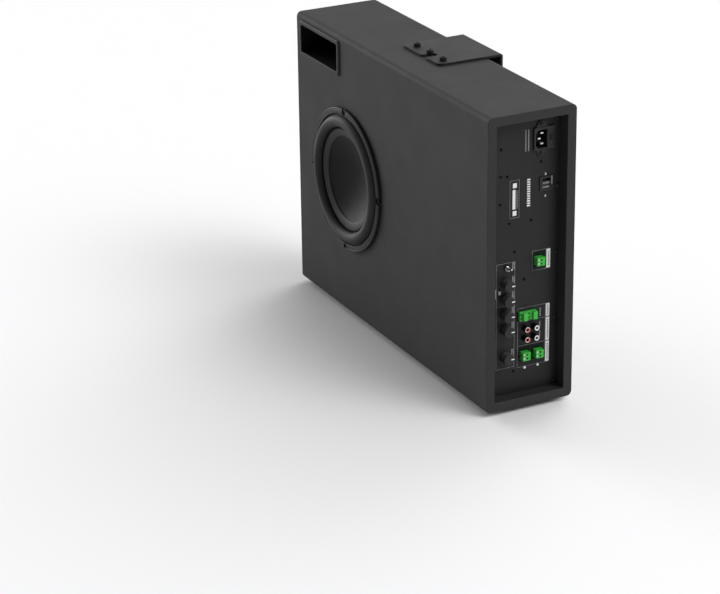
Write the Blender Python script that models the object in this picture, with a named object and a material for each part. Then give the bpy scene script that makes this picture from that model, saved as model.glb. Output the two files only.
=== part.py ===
"""Slim powered subwoofer with a recessed amplifier panel, a slot port and a hanging bracket.

Metres, +Z up.  -Y is the woofer face, +X is the amplifier end, and z = 0 is under the rubber feet.
Run with: blender --background --python part.py
"""

from math import cos, pi, radians, sin

import bmesh
import bpy
from mathutils import Matrix, Vector

# --- Cabinet ---------------------------------------------------------------------------------
LENGTH, DEPTH, HEIGHT = 0.540, 0.128, 0.400
WALL = 0.0127
EDGE_RADIUS = 0.0072
GAP = 0.0002  # glue line or running gap between neighbouring pieces
FOOT_HEIGHT, FOOT_RADIUS, FOOT_INSET = 0.006, 0.008, 0.020

# The crest of the surround and the back of the bracket are the farthest points front and back,
# and the origin is half way between them.
FRONT_REACH, BACK_REACH = 0.0105, 0.018
CENTRE_Y = (FRONT_REACH - BACK_REACH) / 2
LEFT, RIGHT = -LENGTH / 2, LENGTH / 2
FRONT, BACK = CENTRE_Y - DEPTH / 2, CENTRE_Y + DEPTH / 2
BOTTOM, TOP = FOOT_HEIGHT, FOOT_HEIGHT + HEIGHT
INSIDE = WALL + GAP  # from an outer face to where an inner board starts

# --- Woofer, an 8-inch driver; heights are out of the cabinet's front face --------------------
WOOFER_X, WOOFER_Z = LEFT + 0.1515, BOTTOM + HEIGHT / 2 - 0.0016
ROUND_STEPS = 48
FLANGE_RADIUS, FLANGE_FACE = 0.1015, 0.005
BAFFLE_HOLE_RADIUS = 0.0915
BOLT_CIRCLE = 0.0980
ROLL_CENTRE, ROLL_HALF, ROLL_HEIGHT, ROLL_BASE, RUBBER = 0.0816, 0.0089, 0.008, 0.0025, 0.0012
CONE_RADIUS, CONE_BAND, CONE_DEPTH, CONE_SKIN = 0.0724, 0.060, 0.024, 0.0016
COIL_RADIUS = 0.0194
MOTOR_TOP = -0.0498

# --- Slot port -------------------------------------------------------------------------------
PORT_LEFT, PORT_WIDTH, PORT_HEIGHT = LEFT + 0.0163, 0.1124, 0.0412
PORT_TOP = TOP - INSIDE - 0.0001
PORT_DEPTH, PORT_WALL = 0.080, 0.0012
LIP_WIDTH, LIP_FACE, LIP_ROUND = 0.0048, 0.0027, 0.0020

# --- Amplifier panel at the +X end -------------------------------------------------------------
RECESS, PLATE = 0.019, 0.0025
PLATE_X = RIGHT - RECESS  # front face of the panel
FRAME_THICKNESS = 0.0127
KNOB_Y = 0.038
KNOB_HEIGHTS = (0.1675, 0.146, 0.125, 0.104, 0.066)
KNOB_RADIUS, KNOB_TOP, SHAFT_RADIUS = 0.0075, 0.0125, 0.003
INLET = (0.076, 0.1065, 0.3405, 0.3705)  # mains inlet's flange: y from the front, z from the bottom
INLET_FACE, INLET_INSET, INLET_BACK = 0.003, 0.0012, -0.022
SOCKET = (0.0785, 0.095, 0.3425, 0.367)
FUSE = (0.0975, 0.1050, 0.3445, 0.3665)
SELECTOR = (0.086, 0.105, 0.284, 0.3035)
SELECTOR_TRAVEL = 0.0044
JACKS = ((0.0668, 0.1008), (0.0668, 0.0868), (0.0808, 0.1008), (0.0808, 0.0868))
JACK_RADIUS, JACK_TOP = 0.0042, 0.009
PLUG_DEPTH, PLUG_TOP, PLUG_NOSE = 0.0114, 0.009, -0.005
POLE_PITCH, WIDE_POLE_PITCH = 0.00508, 0.006
TOGGLE_Y, TOGGLE_Z, TOGGLE_TILT = 0.0396, 0.1885, radians(12)
TOGGLE_HOLE, TOGGLE_PIVOT = 0.0034, 0.0022
PHASE_Y, PHASE_Z, PHASE_TRAVEL = 0.0288, 0.1579, 0.003
PHASE_SLOT = (PHASE_Y - 0.0020, PHASE_Y + 0.0020, PHASE_Z - 0.0040, PHASE_Z + 0.0040)
DIVIDER_X = RIGHT - 0.110

# --- Hanging bracket on top ---------------------------------------------------------------------
BRACKET_LEFT, BRACKET_WIDTH, BRACKET_FRONT = LEFT + 0.220, 0.103, FRONT + 0.050
STEEL = 0.003
BRACKET_DROP, BRACKET_CORNER = 0.038, 0.008
SLOT_LEFT, SLOT_RIGHT, SLOT_END, SLOT_MOUTH = LEFT + 0.2753, LEFT + 0.2867, FRONT + 0.0695, 0.004
BRACKET_SCREW_X, BRACKET_SCREW_Y, BRACKET_SCREW_PITCH = LEFT + 0.274, FRONT + 0.0633, 0.0358
CAP_RADIUS, CAP_HEIGHT = 0.0048, 0.0052


def clear_scene():
    for old in list(bpy.data.objects):
        bpy.data.objects.remove(old, do_unlink=True)


def material(name, colour, roughness, metallic=0.0):
    made = bpy.data.materials.new(name)
    made.use_nodes = True
    shader = made.node_tree.nodes["Principled BSDF"]
    shader.inputs["Base Color"].default_value = (*colour, 1.0)
    shader.inputs["Roughness"].default_value = roughness
    shader.inputs["Metallic"].default_value = metallic
    made.diffuse_color = (*colour, 1.0)
    return made


# --- Shape helpers ------------------------------------------------------------------------------
def add_object(name, bm, finish=None, turn=None, origin=(0, 0, 0)):
    """A new object from bm, with its origin moved to a point given in the mesh's own axes."""
    bmesh.ops.recalc_face_normals(bm, faces=bm.faces)
    if bm.calc_volume(signed=True) < 0:
        bmesh.ops.reverse_faces(bm, faces=bm.faces)
    bmesh.ops.translate(bm, verts=bm.verts, vec=-Vector(origin))
    mesh = bpy.data.meshes.new(name)
    bm.to_mesh(mesh)
    bm.free()
    piece = bpy.data.objects.new(name, mesh)
    piece.matrix_world = (turn or Matrix()) @ Matrix.Translation(origin)
    bpy.context.scene.collection.objects.link(piece)
    if finish:
        mesh.materials.append(finish)
    return piece


def add_box(bm, low, high):
    middle = (Vector(low) + Vector(high)) / 2
    size = Vector(high) - Vector(low)
    placed = Matrix.Translation(middle) @ Matrix.Diagonal((*size, 1.0))
    bmesh.ops.create_cube(bm, size=1.0, matrix=placed)


def add_rod(bm, centre, radius, low, high, steps=12):
    """An upright cylinder round centre (x, y) from height low to high."""
    placed = Matrix.Translation((*centre, (low + high) / 2))
    bmesh.ops.create_cone(
        bm, cap_ends=True, segments=steps, radius1=radius, radius2=radius,
        depth=high - low, matrix=placed,
    )


def add_skin(bm, loops, closed=False, smooth=True):
    """Faces from each loop of points to the next, closed into a ring or capped at both ends."""
    rings = [[bm.verts.new(point) for point in loop] for loop in loops]
    pairs = list(zip(rings, rings[1:]))
    if closed:
        pairs.append((rings[-1], rings[0]))
    for low, high in pairs:
        for i in range(len(low)):
            j = (i + 1) % len(low)
            bm.faces.new((low[i], low[j], high[j], high[i])).smooth = smooth
    if not closed:
        bm.faces.new(rings[0])
        bm.faces.new(rings[-1])


def circle(radius, height, steps):
    turns = [2 * pi * i / steps for i in range(steps)]
    return [(radius * cos(a), radius * sin(a), height) for a in turns]


def rounded_rectangle(low, high, radius, height, steps=3):
    """A loop of points round a rectangle given by two corners, with arcs at its corners."""
    points = []
    corners = ((high[0], high[1], 0), (low[0], high[1], 1), (low[0], low[1], 2), (high[0], low[1], 3))
    for x, y, quarter in corners:
        centre_x = x - radius if quarter in (0, 3) else x + radius
        centre_y = y - radius if quarter in (0, 1) else y + radius
        for i in range(steps + 1):
            angle = (quarter + i / steps) * pi / 2
            points.append((centre_x + radius * cos(angle), centre_y + radius * sin(angle), height))
    return points


def keep_edges_crisp(piece, angle=radians(40)):
    piece.data.set_sharp_from_angle(angle=angle)


def lathe(name, profile, finish, turn, closed=True, steps=ROUND_STEPS):
    """A turned piece from (radius, height) points: a ring if closed, else capped at both ends."""
    bm = bmesh.new()
    add_skin(bm, [circle(radius, height, steps) for radius, height in profile], closed)
    piece = add_object(name, bm, finish, turn)
    keep_edges_crisp(piece)
    return piece


def prism(name, outline, finish, turn, low, high):
    """A flat outline in the turned x and y, extruded from low to high."""
    bm = bmesh.new()
    add_skin(bm, [[(x, y, height) for x, y in outline] for height in (low, high)], smooth=False)
    return add_object(name, bm, finish, turn)


def block(name, low, high, finish, turn=None):
    """A rectangular piece between two corners, with its origin at its middle."""
    bm = bmesh.new()
    add_box(bm, low, high)
    return add_object(name, bm, finish, turn, (Vector(low) + Vector(high)) / 2)


def hide_tool(tool):
    tool.hide_render = True
    tool.display_type = "WIRE"


def combine(piece, tool, operation):
    change = piece.modifiers.new(operation.title(), "BOOLEAN")
    change.operation = operation
    change.solver = "EXACT"
    change.object = tool
    hide_tool(tool)


def cut(piece, tool):
    combine(piece, tool, "DIFFERENCE")


def join(piece, tool):
    combine(piece, tool, "UNION")


# Turned pieces are drawn upright: OUT_FRONT points their height out of the woofer face, and
# OUT_END points it out of the amplifier end, with their x along +Y and their y along +Z.
OUT_FRONT = Matrix.Translation((WOOFER_X, FRONT, WOOFER_Z)) @ Matrix.Rotation(pi / 2, 4, "X")
OUT_END = Matrix(
    ((0, 0, 1, PLATE_X), (1, 0, 0, FRONT), (0, 1, 0, BOTTOM), (0, 0, 0, 1))
)
ALONG_LENGTH = Matrix(((0, 0, 1, 0), (1, 0, 0, 0), (0, 1, 0, 0), (0, 0, 0, 1)))


# --- Cabinet boards -----------------------------------------------------------------------------
def rounded_board(name, outer_z, inner_z, finish):
    """The top or bottom board, with both of its long outer edges rounded."""
    inward = EDGE_RADIUS if inner_z > outer_z else -EDGE_RADIUS
    steps = 5
    arc = [i / steps * pi / 2 for i in range(steps + 1)]
    outline = [(FRONT, inner_z), (BACK, inner_z)]
    for a in arc:
        outline.append(
            (BACK - EDGE_RADIUS * (1 - cos(a)), outer_z + inward * (1 - sin(a)))
        )
    for a in reversed(arc):
        outline.append(
            (FRONT + EDGE_RADIUS * (1 - cos(a)), outer_z + inward * (1 - sin(a)))
        )
    return prism(name, outline, finish, ALONG_LENGTH, LEFT, RIGHT)


def front_baffle(finish):
    baffle = block(
        "front_baffle",
        (LEFT, FRONT, BOTTOM + INSIDE),
        (RIGHT, FRONT + WALL, TOP - INSIDE),
        finish,
    )
    bm = bmesh.new()
    add_rod(bm, (0, 0), BAFFLE_HOLE_RADIUS, -2 * WALL, WALL, ROUND_STEPS)
    for x, y in woofer_screw_places():
        add_rod(bm, (x, y), 0.0023, -2 * WALL, WALL, 8)
    cut(baffle, add_object("tool_woofer_holes", bm, turn=OUT_FRONT))
    clearance = 0.0003
    bm = bmesh.new()
    add_box(
        bm,
        (PORT_LEFT - clearance, FRONT - WALL, PORT_TOP - PORT_HEIGHT - clearance),
        (PORT_LEFT + PORT_WIDTH + clearance, FRONT + 2 * WALL, TOP),
    )
    cut(baffle, add_object("tool_port_notch", bm))
    return baffle


def bracket_screw_places():
    return [(BRACKET_SCREW_X + i * BRACKET_SCREW_PITCH, BRACKET_SCREW_Y) for i in (-1, 0, 1)]


def cabinet(finish):
    top = rounded_board("top_panel", TOP, TOP - WALL, finish)
    bm = bmesh.new()
    for place in bracket_screw_places():
        add_rod(bm, place, 0.0025, TOP - 2 * WALL, TOP + WALL)
    cut(top, add_object("tool_top_holes", bm))
    rounded_board("bottom_panel", BOTTOM, BOTTOM + WALL, finish)
    front_baffle(finish)
    block(
        "back_panel",
        (LEFT, BACK - WALL, BOTTOM + INSIDE),
        (RIGHT, BACK, TOP - INSIDE),
        finish,
    )
    for name, x, thickness in (
        ("left_end_panel", LEFT, WALL),
        ("amplifier_bay_divider", DIVIDER_X, WALL),
    ):
        block(
            name,
            (x, FRONT + INSIDE, BOTTOM + INSIDE),
            (x + thickness, BACK - INSIDE, TOP - INSIDE),
            finish,
        )


def amplifier_mounting_frame(finish):
    """The ring of board behind the amplifier panel that its edge screws bite into."""
    front = -PLATE - GAP
    frame = block(
        "amplifier_mounting_frame",
        (INSIDE, INSIDE, front - FRAME_THICKNESS),
        (DEPTH - INSIDE, HEIGHT - INSIDE, front),
        finish,
        OUT_END,
    )
    bm = bmesh.new()
    add_box(bm, (0.0215, 0.030, -0.05), (0.1065, 0.3725, 0.01))
    cut(frame, add_object("tool_frame_window", bm, turn=OUT_END))


def feet(finish):
    profile = ((FOOT_RADIUS - 0.001, 0.0), (FOOT_RADIUS, 0.001), (FOOT_RADIUS, FOOT_HEIGHT - GAP))
    number = 0
    for x in (LEFT + 2 * FOOT_INSET, RIGHT - 2 * FOOT_INSET):
        for y in (FRONT + FOOT_INSET, BACK - FOOT_INSET):
            number += 1
            lathe(f"foot_{number}", profile, finish, Matrix.Translation((x, y, 0)), False, 20)


# --- Port -----------------------------------------------------------------------------------------
def port_duct(finish):
    """A moulded slot port: a rounded lip on the baffle and a straight duct behind it."""
    low = (PORT_LEFT, -PORT_TOP)
    high = (PORT_LEFT + PORT_WIDTH, -(PORT_TOP - PORT_HEIGHT))

    def loop(inset, height, radius):
        grown_low = (low[0] + inset, low[1] + inset)
        grown_high = (high[0] - inset, high[1] - inset)
        return rounded_rectangle(grown_low, grown_high, radius, height)

    outer = -LIP_WIDTH
    steps = 3
    turns = [i / steps * pi / 2 for i in range(steps + 1)]
    loops = [loop(0, -PORT_DEPTH, 0.002), loop(0, GAP, 0.002), loop(outer, GAP, 0.003)]
    for a in turns:
        inset = outer + LIP_ROUND * (1 - cos(a))
        height = LIP_FACE - LIP_ROUND * (1 - sin(a))
        loops.append(loop(inset, height, 0.003 - 0.001 * sin(a)))
    for a in turns:
        inset = -0.0002 + (PORT_WALL + 0.0002) * sin(a)
        loops.append(loop(inset, LIP_FACE - 0.005 * (1 - cos(a)), 0.0015))
    loops.append(loop(PORT_WALL, -PORT_DEPTH, 0.0015))
    bm = bmesh.new()
    add_skin(bm, loops, closed=True)
    turn = Matrix.Translation((0, FRONT, 0)) @ Matrix.Rotation(pi / 2, 4, "X")
    # Turned out of the front face, the drawing's y is world z, so it is drawn mirrored back.
    mirror = Matrix.Diagonal((1, -1, 1, 1))
    bmesh.ops.transform(bm, matrix=mirror, verts=bm.verts)
    keep_edges_crisp(add_object("port_duct", bm, finish, turn))


# --- Woofer ---------------------------------------------------------------------------------------
def woofer_screw_places():
    return [(BOLT_CIRCLE * cos(i * pi / 2), BOLT_CIRCLE * sin(i * pi / 2)) for i in range(4)]


def woofer_frame(finish):
    profile = (
        (0.0905, 0.0010), (FLANGE_RADIUS, 0.0010), (FLANGE_RADIUS, 0.0038),
        (FLANGE_RADIUS - 0.0008, 0.0047), (FLANGE_RADIUS - 0.0018, FLANGE_FACE),
        (0.0940, FLANGE_FACE), (0.0930, 0.0044), (0.0928, 0.0015),
        (0.0860, 0.0015), (0.0840, -0.0060), (0.0800, -0.0130), (0.0605, -0.0360),
        (0.0450, -0.0360), (0.0450, -0.0385), (0.0565, -0.0385), (0.0520, -0.0468),
        (0.0300, -0.0468), (0.0300, MOTOR_TOP + GAP), (0.0530, MOTOR_TOP + GAP),
        (0.0560, -0.0460), (0.0840, -0.0140), (0.0905, -0.0060),
    )
    frame = lathe("woofer_frame", profile, finish, OUT_FRONT)
    for i in range(3):
        bm = bmesh.new()
        add_box(bm, (-0.12, -0.019, -0.033), (0.12, 0.019, -0.013))
        turn = OUT_FRONT @ Matrix.Rotation((i + 0.5) * pi / 3, 4, "Z")
        cut(frame, add_object(f"tool_frame_windows_{i}", bm, turn=turn))
    bm = bmesh.new()
    for x, y in woofer_screw_places():
        add_rod(bm, (x * 1.007, y * 1.007), 0.0048, 0.0024, 0.010, 16)
    cut(frame, add_object("tool_frame_notches", bm, turn=OUT_FRONT))
    bm = bmesh.new()
    for x, y in woofer_screw_places():
        add_rod(bm, (x, y), 0.0023, -0.005, 0.010, 8)
    cut(frame, add_object("tool_frame_holes", bm, turn=OUT_FRONT))


def woofer_screws(finish):
    profile = (
        (0.0020, -0.0120), (0.0020, 0.0026), (0.0040, 0.0026), (0.0040, 0.0040), (0.0030, 0.0049),
    )
    for number, (x, y) in enumerate(woofer_screw_places(), 1):
        turn = OUT_FRONT @ Matrix.Translation((x, y, 0))
        lathe(f"woofer_screw_{number}", profile, finish, turn, False, 12)


def surround(finish):
    """A half-roll rubber ring with a flat glued to the frame, ending just clear of the cone."""
    steps = 8
    turns = [i / steps * pi for i in range(steps + 1)]
    outer = [
        (ROLL_CENTRE - ROLL_HALF * cos(a), ROLL_BASE + ROLL_HEIGHT * sin(a)) for a in turns
    ]
    half, height = ROLL_HALF - RUBBER, ROLL_HEIGHT - RUBBER
    inner = [(ROLL_CENTRE - half * cos(a), ROLL_BASE + height * sin(a)) for a in turns]
    flat = [(0.0923, 0.0027), (0.0923, 0.0017), (0.0885, 0.0017)]
    lathe("surround", outer + flat + inner[::-1], finish, OUT_FRONT)


def dish(radius):
    """Height of the cone's front surface inside its flat band."""
    return 0.0012 - CONE_DEPTH * (1 - (radius / CONE_BAND) ** 2)


def cone(finish):
    radii = (0.002, 0.012, 0.024, 0.036, 0.048, CONE_BAND)
    front = [(r, dish(r)) for r in radii]
    back = [(r, dish(r) - CONE_SKIN) for r in radii]
    edge = [(CONE_RADIUS - 0.001, 0.0030), (CONE_RADIUS, 0.0024), (CONE_RADIUS, 0.0008)]
    bm = bmesh.new()
    profile = back + edge[::-1] + front[::-1]
    add_skin(bm, [circle(r, height, ROUND_STEPS) for r, height in profile])
    keep_edges_crisp(add_object("cone", bm, finish, OUT_FRONT))


def moving_coil(finish):
    neck = dish(COIL_RADIUS) - CONE_SKIN - 2 * GAP
    profile = (
        (COIL_RADIUS - 0.0005, -0.064), (COIL_RADIUS, -0.064), (COIL_RADIUS, -0.062),
        (COIL_RADIUS + 0.0007, -0.062), (COIL_RADIUS + 0.0007, -0.046), (COIL_RADIUS, -0.046),
        (COIL_RADIUS, neck), (COIL_RADIUS - 0.0005, neck),
    )
    lathe("voice_coil", profile, finish, OUT_FRONT, steps=32)


def spider(finish):
    """The corrugated cloth disc that centres the coil, glued to the frame at its outer edge."""
    inner, outer, middle, wave, cloth = COIL_RADIUS + 0.00035, 0.0445, -0.0340, 0.0014, 0.0008
    steps, waves = 10, 2.5
    top = []
    for i in range(steps + 1):
        share = i / steps
        height = middle + wave * sin(share * waves * 2 * pi)
        top.append((inner + (outer - inner) * share, height))
    seat = [(0.0465, -0.0349), (0.0520, -0.0349)]
    upper = top + seat
    lower = [(radius, height - cloth) for radius, height in upper]
    lathe("spider", upper + lower[::-1], finish, OUT_FRONT, steps=32)


def motor(steel, ferrite):
    bore = COIL_RADIUS + 0.0013
    plate_back, magnet_back, motor_back = MOTOR_TOP - 0.008, MOTOR_TOP - 0.0252, MOTOR_TOP - 0.0334

    def ring(name, inner, outer, low, high, finish):
        profile = ((inner, low), (outer, low), (outer, high), (inner, high))
        lathe(name, profile, finish, OUT_FRONT, steps=32)

    ring("magnet_front_plate", bore, 0.050, plate_back, MOTOR_TOP, steel)
    ring("magnet", 0.026, 0.054, magnet_back, plate_back - GAP, ferrite)
    pole = COIL_RADIUS - 0.0011
    profile = (
        (0.006, motor_back), (0.050, motor_back), (0.050, magnet_back - GAP),
        (pole, magnet_back - GAP), (pole, MOTOR_TOP), (0.006, MOTOR_TOP),
    )
    lathe("magnet_yoke", profile, steel, OUT_FRONT, steps=32)


def woofer(finishes):
    woofer_frame(finishes["steel_black"])
    gasket = ((0.0918, GAP), (0.0956, GAP), (0.0956, 0.0008), (0.0918, 0.0008))
    lathe("woofer_gasket", gasket, finishes["rubber"], OUT_FRONT)
    woofer_screws(finishes["steel_black"])
    surround(finishes["rubber"])
    cone(finishes["cone"])
    moving_coil(finishes["copper"])
    spider(finishes["cloth"])
    motor(finishes["steel_bright"], finishes["ferrite"])


# --- Amplifier panel and its fittings -----------------------------------------------------------
def plugs():
    """Each plug's name, middle (y, z), and the offsets of its poles from there in y or in z."""
    pair = [(0.0, side * POLE_PITCH / 2) for side in (-1, 1)]
    row = [((i - 1.5) * WIDE_POLE_PITCH, 0.0) for i in range(4)]
    return (
        ("trigger_plug", 0.0853, 0.1916, pair),
        ("speaker_plug", 0.0694, 0.1190, row),
        ("line_plug_1", 0.0658, 0.0636, pair),
        ("line_plug_2", 0.0853, 0.0636, pair),
    )


def plug_half_sizes(poles):
    across = PLUG_DEPTH / 2
    if len(poles) == 2:
        return across, POLE_PITCH + 0.0005
    return 2 * WIDE_POLE_PITCH + 0.0003, across


def window(bm, area, grown=0.0):
    low = (area[0] - grown, area[2] - grown, -0.05)
    high = (area[1] + grown, area[3] + grown, 0.05)
    add_box(bm, low, high)


def amplifier_panel(finish):
    margin = INSIDE + 0.0004
    plate = block(
        "amplifier_panel",
        (margin, margin, -PLATE),
        (DEPTH - margin, HEIGHT - margin, 0),
        finish,
        OUT_END,
    )
    clearance = 0.0004
    bm = bmesh.new()
    window(bm, INLET, clearance - INLET_INSET)
    window(bm, SELECTOR, clearance)
    for _, y, z, poles in plugs():
        half_y, half_z = plug_half_sizes(poles)
        window(bm, (y - half_y, y + half_y, z - half_z, z + half_z), clearance)
    window(bm, PHASE_SLOT)
    for z in KNOB_HEIGHTS:
        add_rod(bm, (KNOB_Y, z), SHAFT_RADIUS + 0.0006, -0.05, 0.05)
    for place in JACKS:
        add_rod(bm, place, JACK_RADIUS + clearance, -0.05, 0.05, 16)
    add_rod(bm, (TOGGLE_Y, TOGGLE_Z), TOGGLE_HOLE, -0.05, 0.05)
    cut(plate, add_object("tool_panel_holes", bm, turn=OUT_END))


def mains_inlet(finishes):
    """A three-pin inlet with a fuse drawer beside it, and screw ears above and below."""
    y0, y1, z0, z1 = INLET
    socket_y = (SOCKET[0] + SOCKET[1]) / 2
    inlet = block(
        "mains_inlet", (y0, z0, GAP), (y1, z1, INLET_FACE), finishes["plastic_black"], OUT_END
    )
    ear, ear_tip, ear_face, ear_left, ear_right = 0.0085, 0.0028, 0.0018, y0 + 0.001, y1 - 0.011
    shoulder = 0.002
    outline = [
        (socket_y - ear_tip, z1 + ear), (ear_left, z1 - shoulder), (ear_left, z0 + shoulder),
        (socket_y - ear_tip, z0 - ear), (socket_y + ear_tip, z0 - ear),
        (ear_right, z0 + shoulder), (ear_right, z1 - shoulder), (socket_y + ear_tip, z1 + ear),
    ]
    ears = prism("tool_inlet_ears", outline, None, OUT_END, GAP, ear_face)
    join(inlet, ears)
    inset = INLET_INSET
    body = block(
        "tool_inlet_body",
        (y0 + inset, z0 + inset, INLET_BACK),
        (y1 - inset, z1 - inset, GAP + 0.001),
        None,
        OUT_END,
    )
    join(inlet, body)
    socket_floor, fuse_floor, ear_screw, ear_hole = -0.0150, -0.0190, 0.0045, 0.0016
    bm = bmesh.new()
    add_box(bm, (SOCKET[0], SOCKET[2], socket_floor), (SOCKET[1], SOCKET[3], 0.01))
    add_box(bm, (FUSE[0], FUSE[2], fuse_floor), (FUSE[1], FUSE[3], 0.01))
    for z in (z0 - ear_screw, z1 + ear_screw):
        add_rod(bm, (socket_y, z), ear_hole, -0.01, 0.01)
    cut(inlet, add_object("tool_inlet_pockets", bm, turn=OUT_END))

    pin_pitch, half_blade, half_thick = 0.007, 0.002, 0.001
    socket_z = (SOCKET[2] + SOCKET[3]) / 2
    for name, z, y in (
        ("mains_pin_live", socket_z + pin_pitch, socket_y + half_blade),
        ("mains_pin_neutral", socket_z - pin_pitch, socket_y + half_blade),
        ("mains_pin_earth", socket_z, socket_y - half_blade),
    ):
        low = (y - half_blade, z - half_thick, socket_floor + GAP)
        high = (y + half_blade, z + half_thick, 0.0)
        block(name, low, high, finishes["steel_bright"], OUT_END)
    slack = 0.0003
    middle = ((FUSE[0] + FUSE[1]) / 2, (FUSE[2] + FUSE[3]) / 2)
    drawer = block(
        "fuse_drawer",
        (FUSE[0] + slack, FUSE[2] + slack, -0.0185),
        (FUSE[1] - slack, FUSE[3] - slack, 0.0025),
        finishes["plastic_black"],
        OUT_END,
    )
    grip = block(
        "tool_fuse_grip",
        (middle[0] - 0.0015, middle[1] - 0.004, 0.0020),
        (middle[0] + 0.0015, middle[1] + 0.004, 0.0040),
        None,
        OUT_END,
    )
    join(drawer, grip)


def voltage_selector(finishes):
    y0, y1, z0, z1 = SELECTOR
    body = block(
        "voltage_selector_body", (y0, z0, -0.012), (y1, z1, 0.0014), finishes["plastic_black"], OUT_END
    )
    well = (y0 + 0.0038, y1 - 0.0038, z0 + 0.0024, z1 - 0.0024)
    bm = bmesh.new()
    add_box(bm, (well[0], well[2], -0.004), (well[1], well[3], 0.01))
    cut(body, add_object("tool_selector_well", bm, turn=OUT_END))
    slack = 0.0003
    slider_low = (well[0] + slack, well[2] + slack)
    slider_high = (well[1] - slack, well[3] - slack - SELECTOR_TRAVEL)
    middle = (slider_low[1] + slider_high[1]) / 2
    slider = block(
        "voltage_selector_slider",
        (*slider_low, -0.0037),
        (*slider_high, 0.0004),
        finishes["plastic_grey"],
        OUT_END,
    )
    groove, groove_floor = 0.0008, -0.0012
    bm = bmesh.new()
    low = (slider_low[0] - 0.001, middle - groove, groove_floor)
    high = (slider_high[0] + 0.001, middle + groove, 0.01)
    add_box(bm, low, high)
    cut(slider, add_object("tool_selector_groove", bm, turn=OUT_END))


def knobs(finish):
    profile = (
        (SHAFT_RADIUS, -0.0050), (SHAFT_RADIUS, 0.0010), (KNOB_RADIUS, 0.0010),
        (KNOB_RADIUS, 0.0030), (KNOB_RADIUS - 0.0002, 0.0118), (KNOB_RADIUS - 0.0008, KNOB_TOP),
    )
    for number, z in enumerate(KNOB_HEIGHTS, 1):
        turn = OUT_END @ Matrix.Translation((KNOB_Y, z, 0))
        lathe(f"knob_{number}", profile, finish, turn, False, 20)


def switches(finishes):
    place = OUT_END @ Matrix.Translation((TOGGLE_Y, TOGGLE_Z, 0))
    bushing = (
        (0.0030, -0.0100), (0.0030, GAP), (0.0048, GAP), (0.0048, 0.0020), (0.0030, 0.0020),
        (0.0030, 0.0050), (0.0024, 0.0050), (0.0018, 0.0012),
    )
    lathe("toggle_bushing", bushing, finishes["steel_bright"], place, False, 16)
    lever = ((0.0009, -0.0006), (0.0011, 0.0030), (0.0017, 0.0105), (0.0012, 0.0118))
    pivot = Matrix.Translation((0, 0, TOGGLE_PIVOT))
    tilt = Matrix.Rotation(-TOGGLE_TILT, 4, "X")
    lathe("toggle_lever", lever, finishes["steel_bright"], place @ pivot @ tilt, False, 12)

    half_width, half_nub = 0.0017, 0.0022
    low = PHASE_Z - PHASE_TRAVEL / 2
    block(
        "phase_slider",
        (PHASE_Y - half_width, low - half_nub, -0.0029),
        (PHASE_Y + half_width, low + half_nub, 0.0016),
        finishes["plastic_grey"],
        OUT_END,
    )


def jacks(finish):
    r = JACK_RADIUS
    profile = (
        (r, -0.0080), (r, GAP), (r + 0.0012, GAP), (r + 0.0012, 0.0012), (r, 0.0012),
        (r, JACK_TOP), (0.0026, JACK_TOP), (0.0026, -0.0050),
    )
    for number, place in enumerate(JACKS, 1):
        turn = OUT_END @ Matrix.Translation((*place, 0))
        lathe(f"rca_jack_{number}", profile, finish, turn, False, 16)


def terminal_plugs(finish):
    """Green pluggable terminal blocks, each with a wire hole for every pole."""
    for name, y, z, poles in plugs():
        half_y, half_z = plug_half_sizes(poles)
        plug = block(
            name, (y - half_y, z - half_z, PLUG_NOSE), (y + half_y, z + half_z, PLUG_TOP), finish, OUT_END
        )
        hole = 0.0017
        bm = bmesh.new()
        for along_y, along_z in poles:
            middle = (y + along_y, z + along_z)
            low = (middle[0] - hole, middle[1] - hole, 0.0015)
            high = (middle[0] + hole, middle[1] + hole, 0.02)
            add_box(bm, low, high)
        cut(plug, add_object(f"tool_{name}_holes", bm, turn=OUT_END))


def boards(finish):
    """Circuit boards behind the panel, each one body with the parts soldered to it."""
    board_front, board_back = -0.0164, -0.0180
    overlap = 0.0005
    controls = block(
        "control_board", (0.0240, 0.0500, board_back), (0.0520, 0.2000, board_front), finish, OUT_END
    )
    bm = bmesh.new()
    parts = [(KNOB_Y, z, 0.006, -0.0056) for z in KNOB_HEIGHTS]
    parts += [(TOGGLE_Y, TOGGLE_Z, 0.005, -0.0106), (PHASE_Y, PHASE_Z, 0.003, -0.0032)]
    for y, z, half, front in parts:
        add_box(bm, (y - half, z - half, board_front - overlap), (y + half, z + half, front))
    join(controls, add_object("tool_control_parts", bm, turn=OUT_END))

    inputs = block(
        "input_board", (0.0560, 0.0480, board_back), (0.1020, 0.2060, board_front), finish, OUT_END
    )
    bm = bmesh.new()
    for _, y, z, poles in plugs():
        half_y, half_z = plug_half_sizes(poles)
        low = (y - half_y, z - half_z, board_front - overlap)
        add_box(bm, low, (y + half_y, z + half_z, PLUG_NOSE - 0.0006))
    for y, z in JACKS:
        add_box(bm, (y - 0.005, z - 0.005, board_front - overlap), (y + 0.005, z + 0.005, -0.0086))
    join(inputs, add_object("tool_input_parts", bm, turn=OUT_END))

    power = block(
        "power_board", (0.0200, 0.1850, -0.0360), (0.1080, 0.3550, -0.0344), finish, OUT_END
    )
    bm = bmesh.new()
    for place in ((0.070, 0.222, 0.0036), (0.085, 0.250, 0.0036), (0.045, 0.222, 0.0060)):
        y, z, half = place
        add_box(bm, (y - half, z - half, -0.0350), (y + half, z + half, -0.0260))
    join(power, add_object("tool_power_parts", bm, turn=OUT_END))


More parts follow.
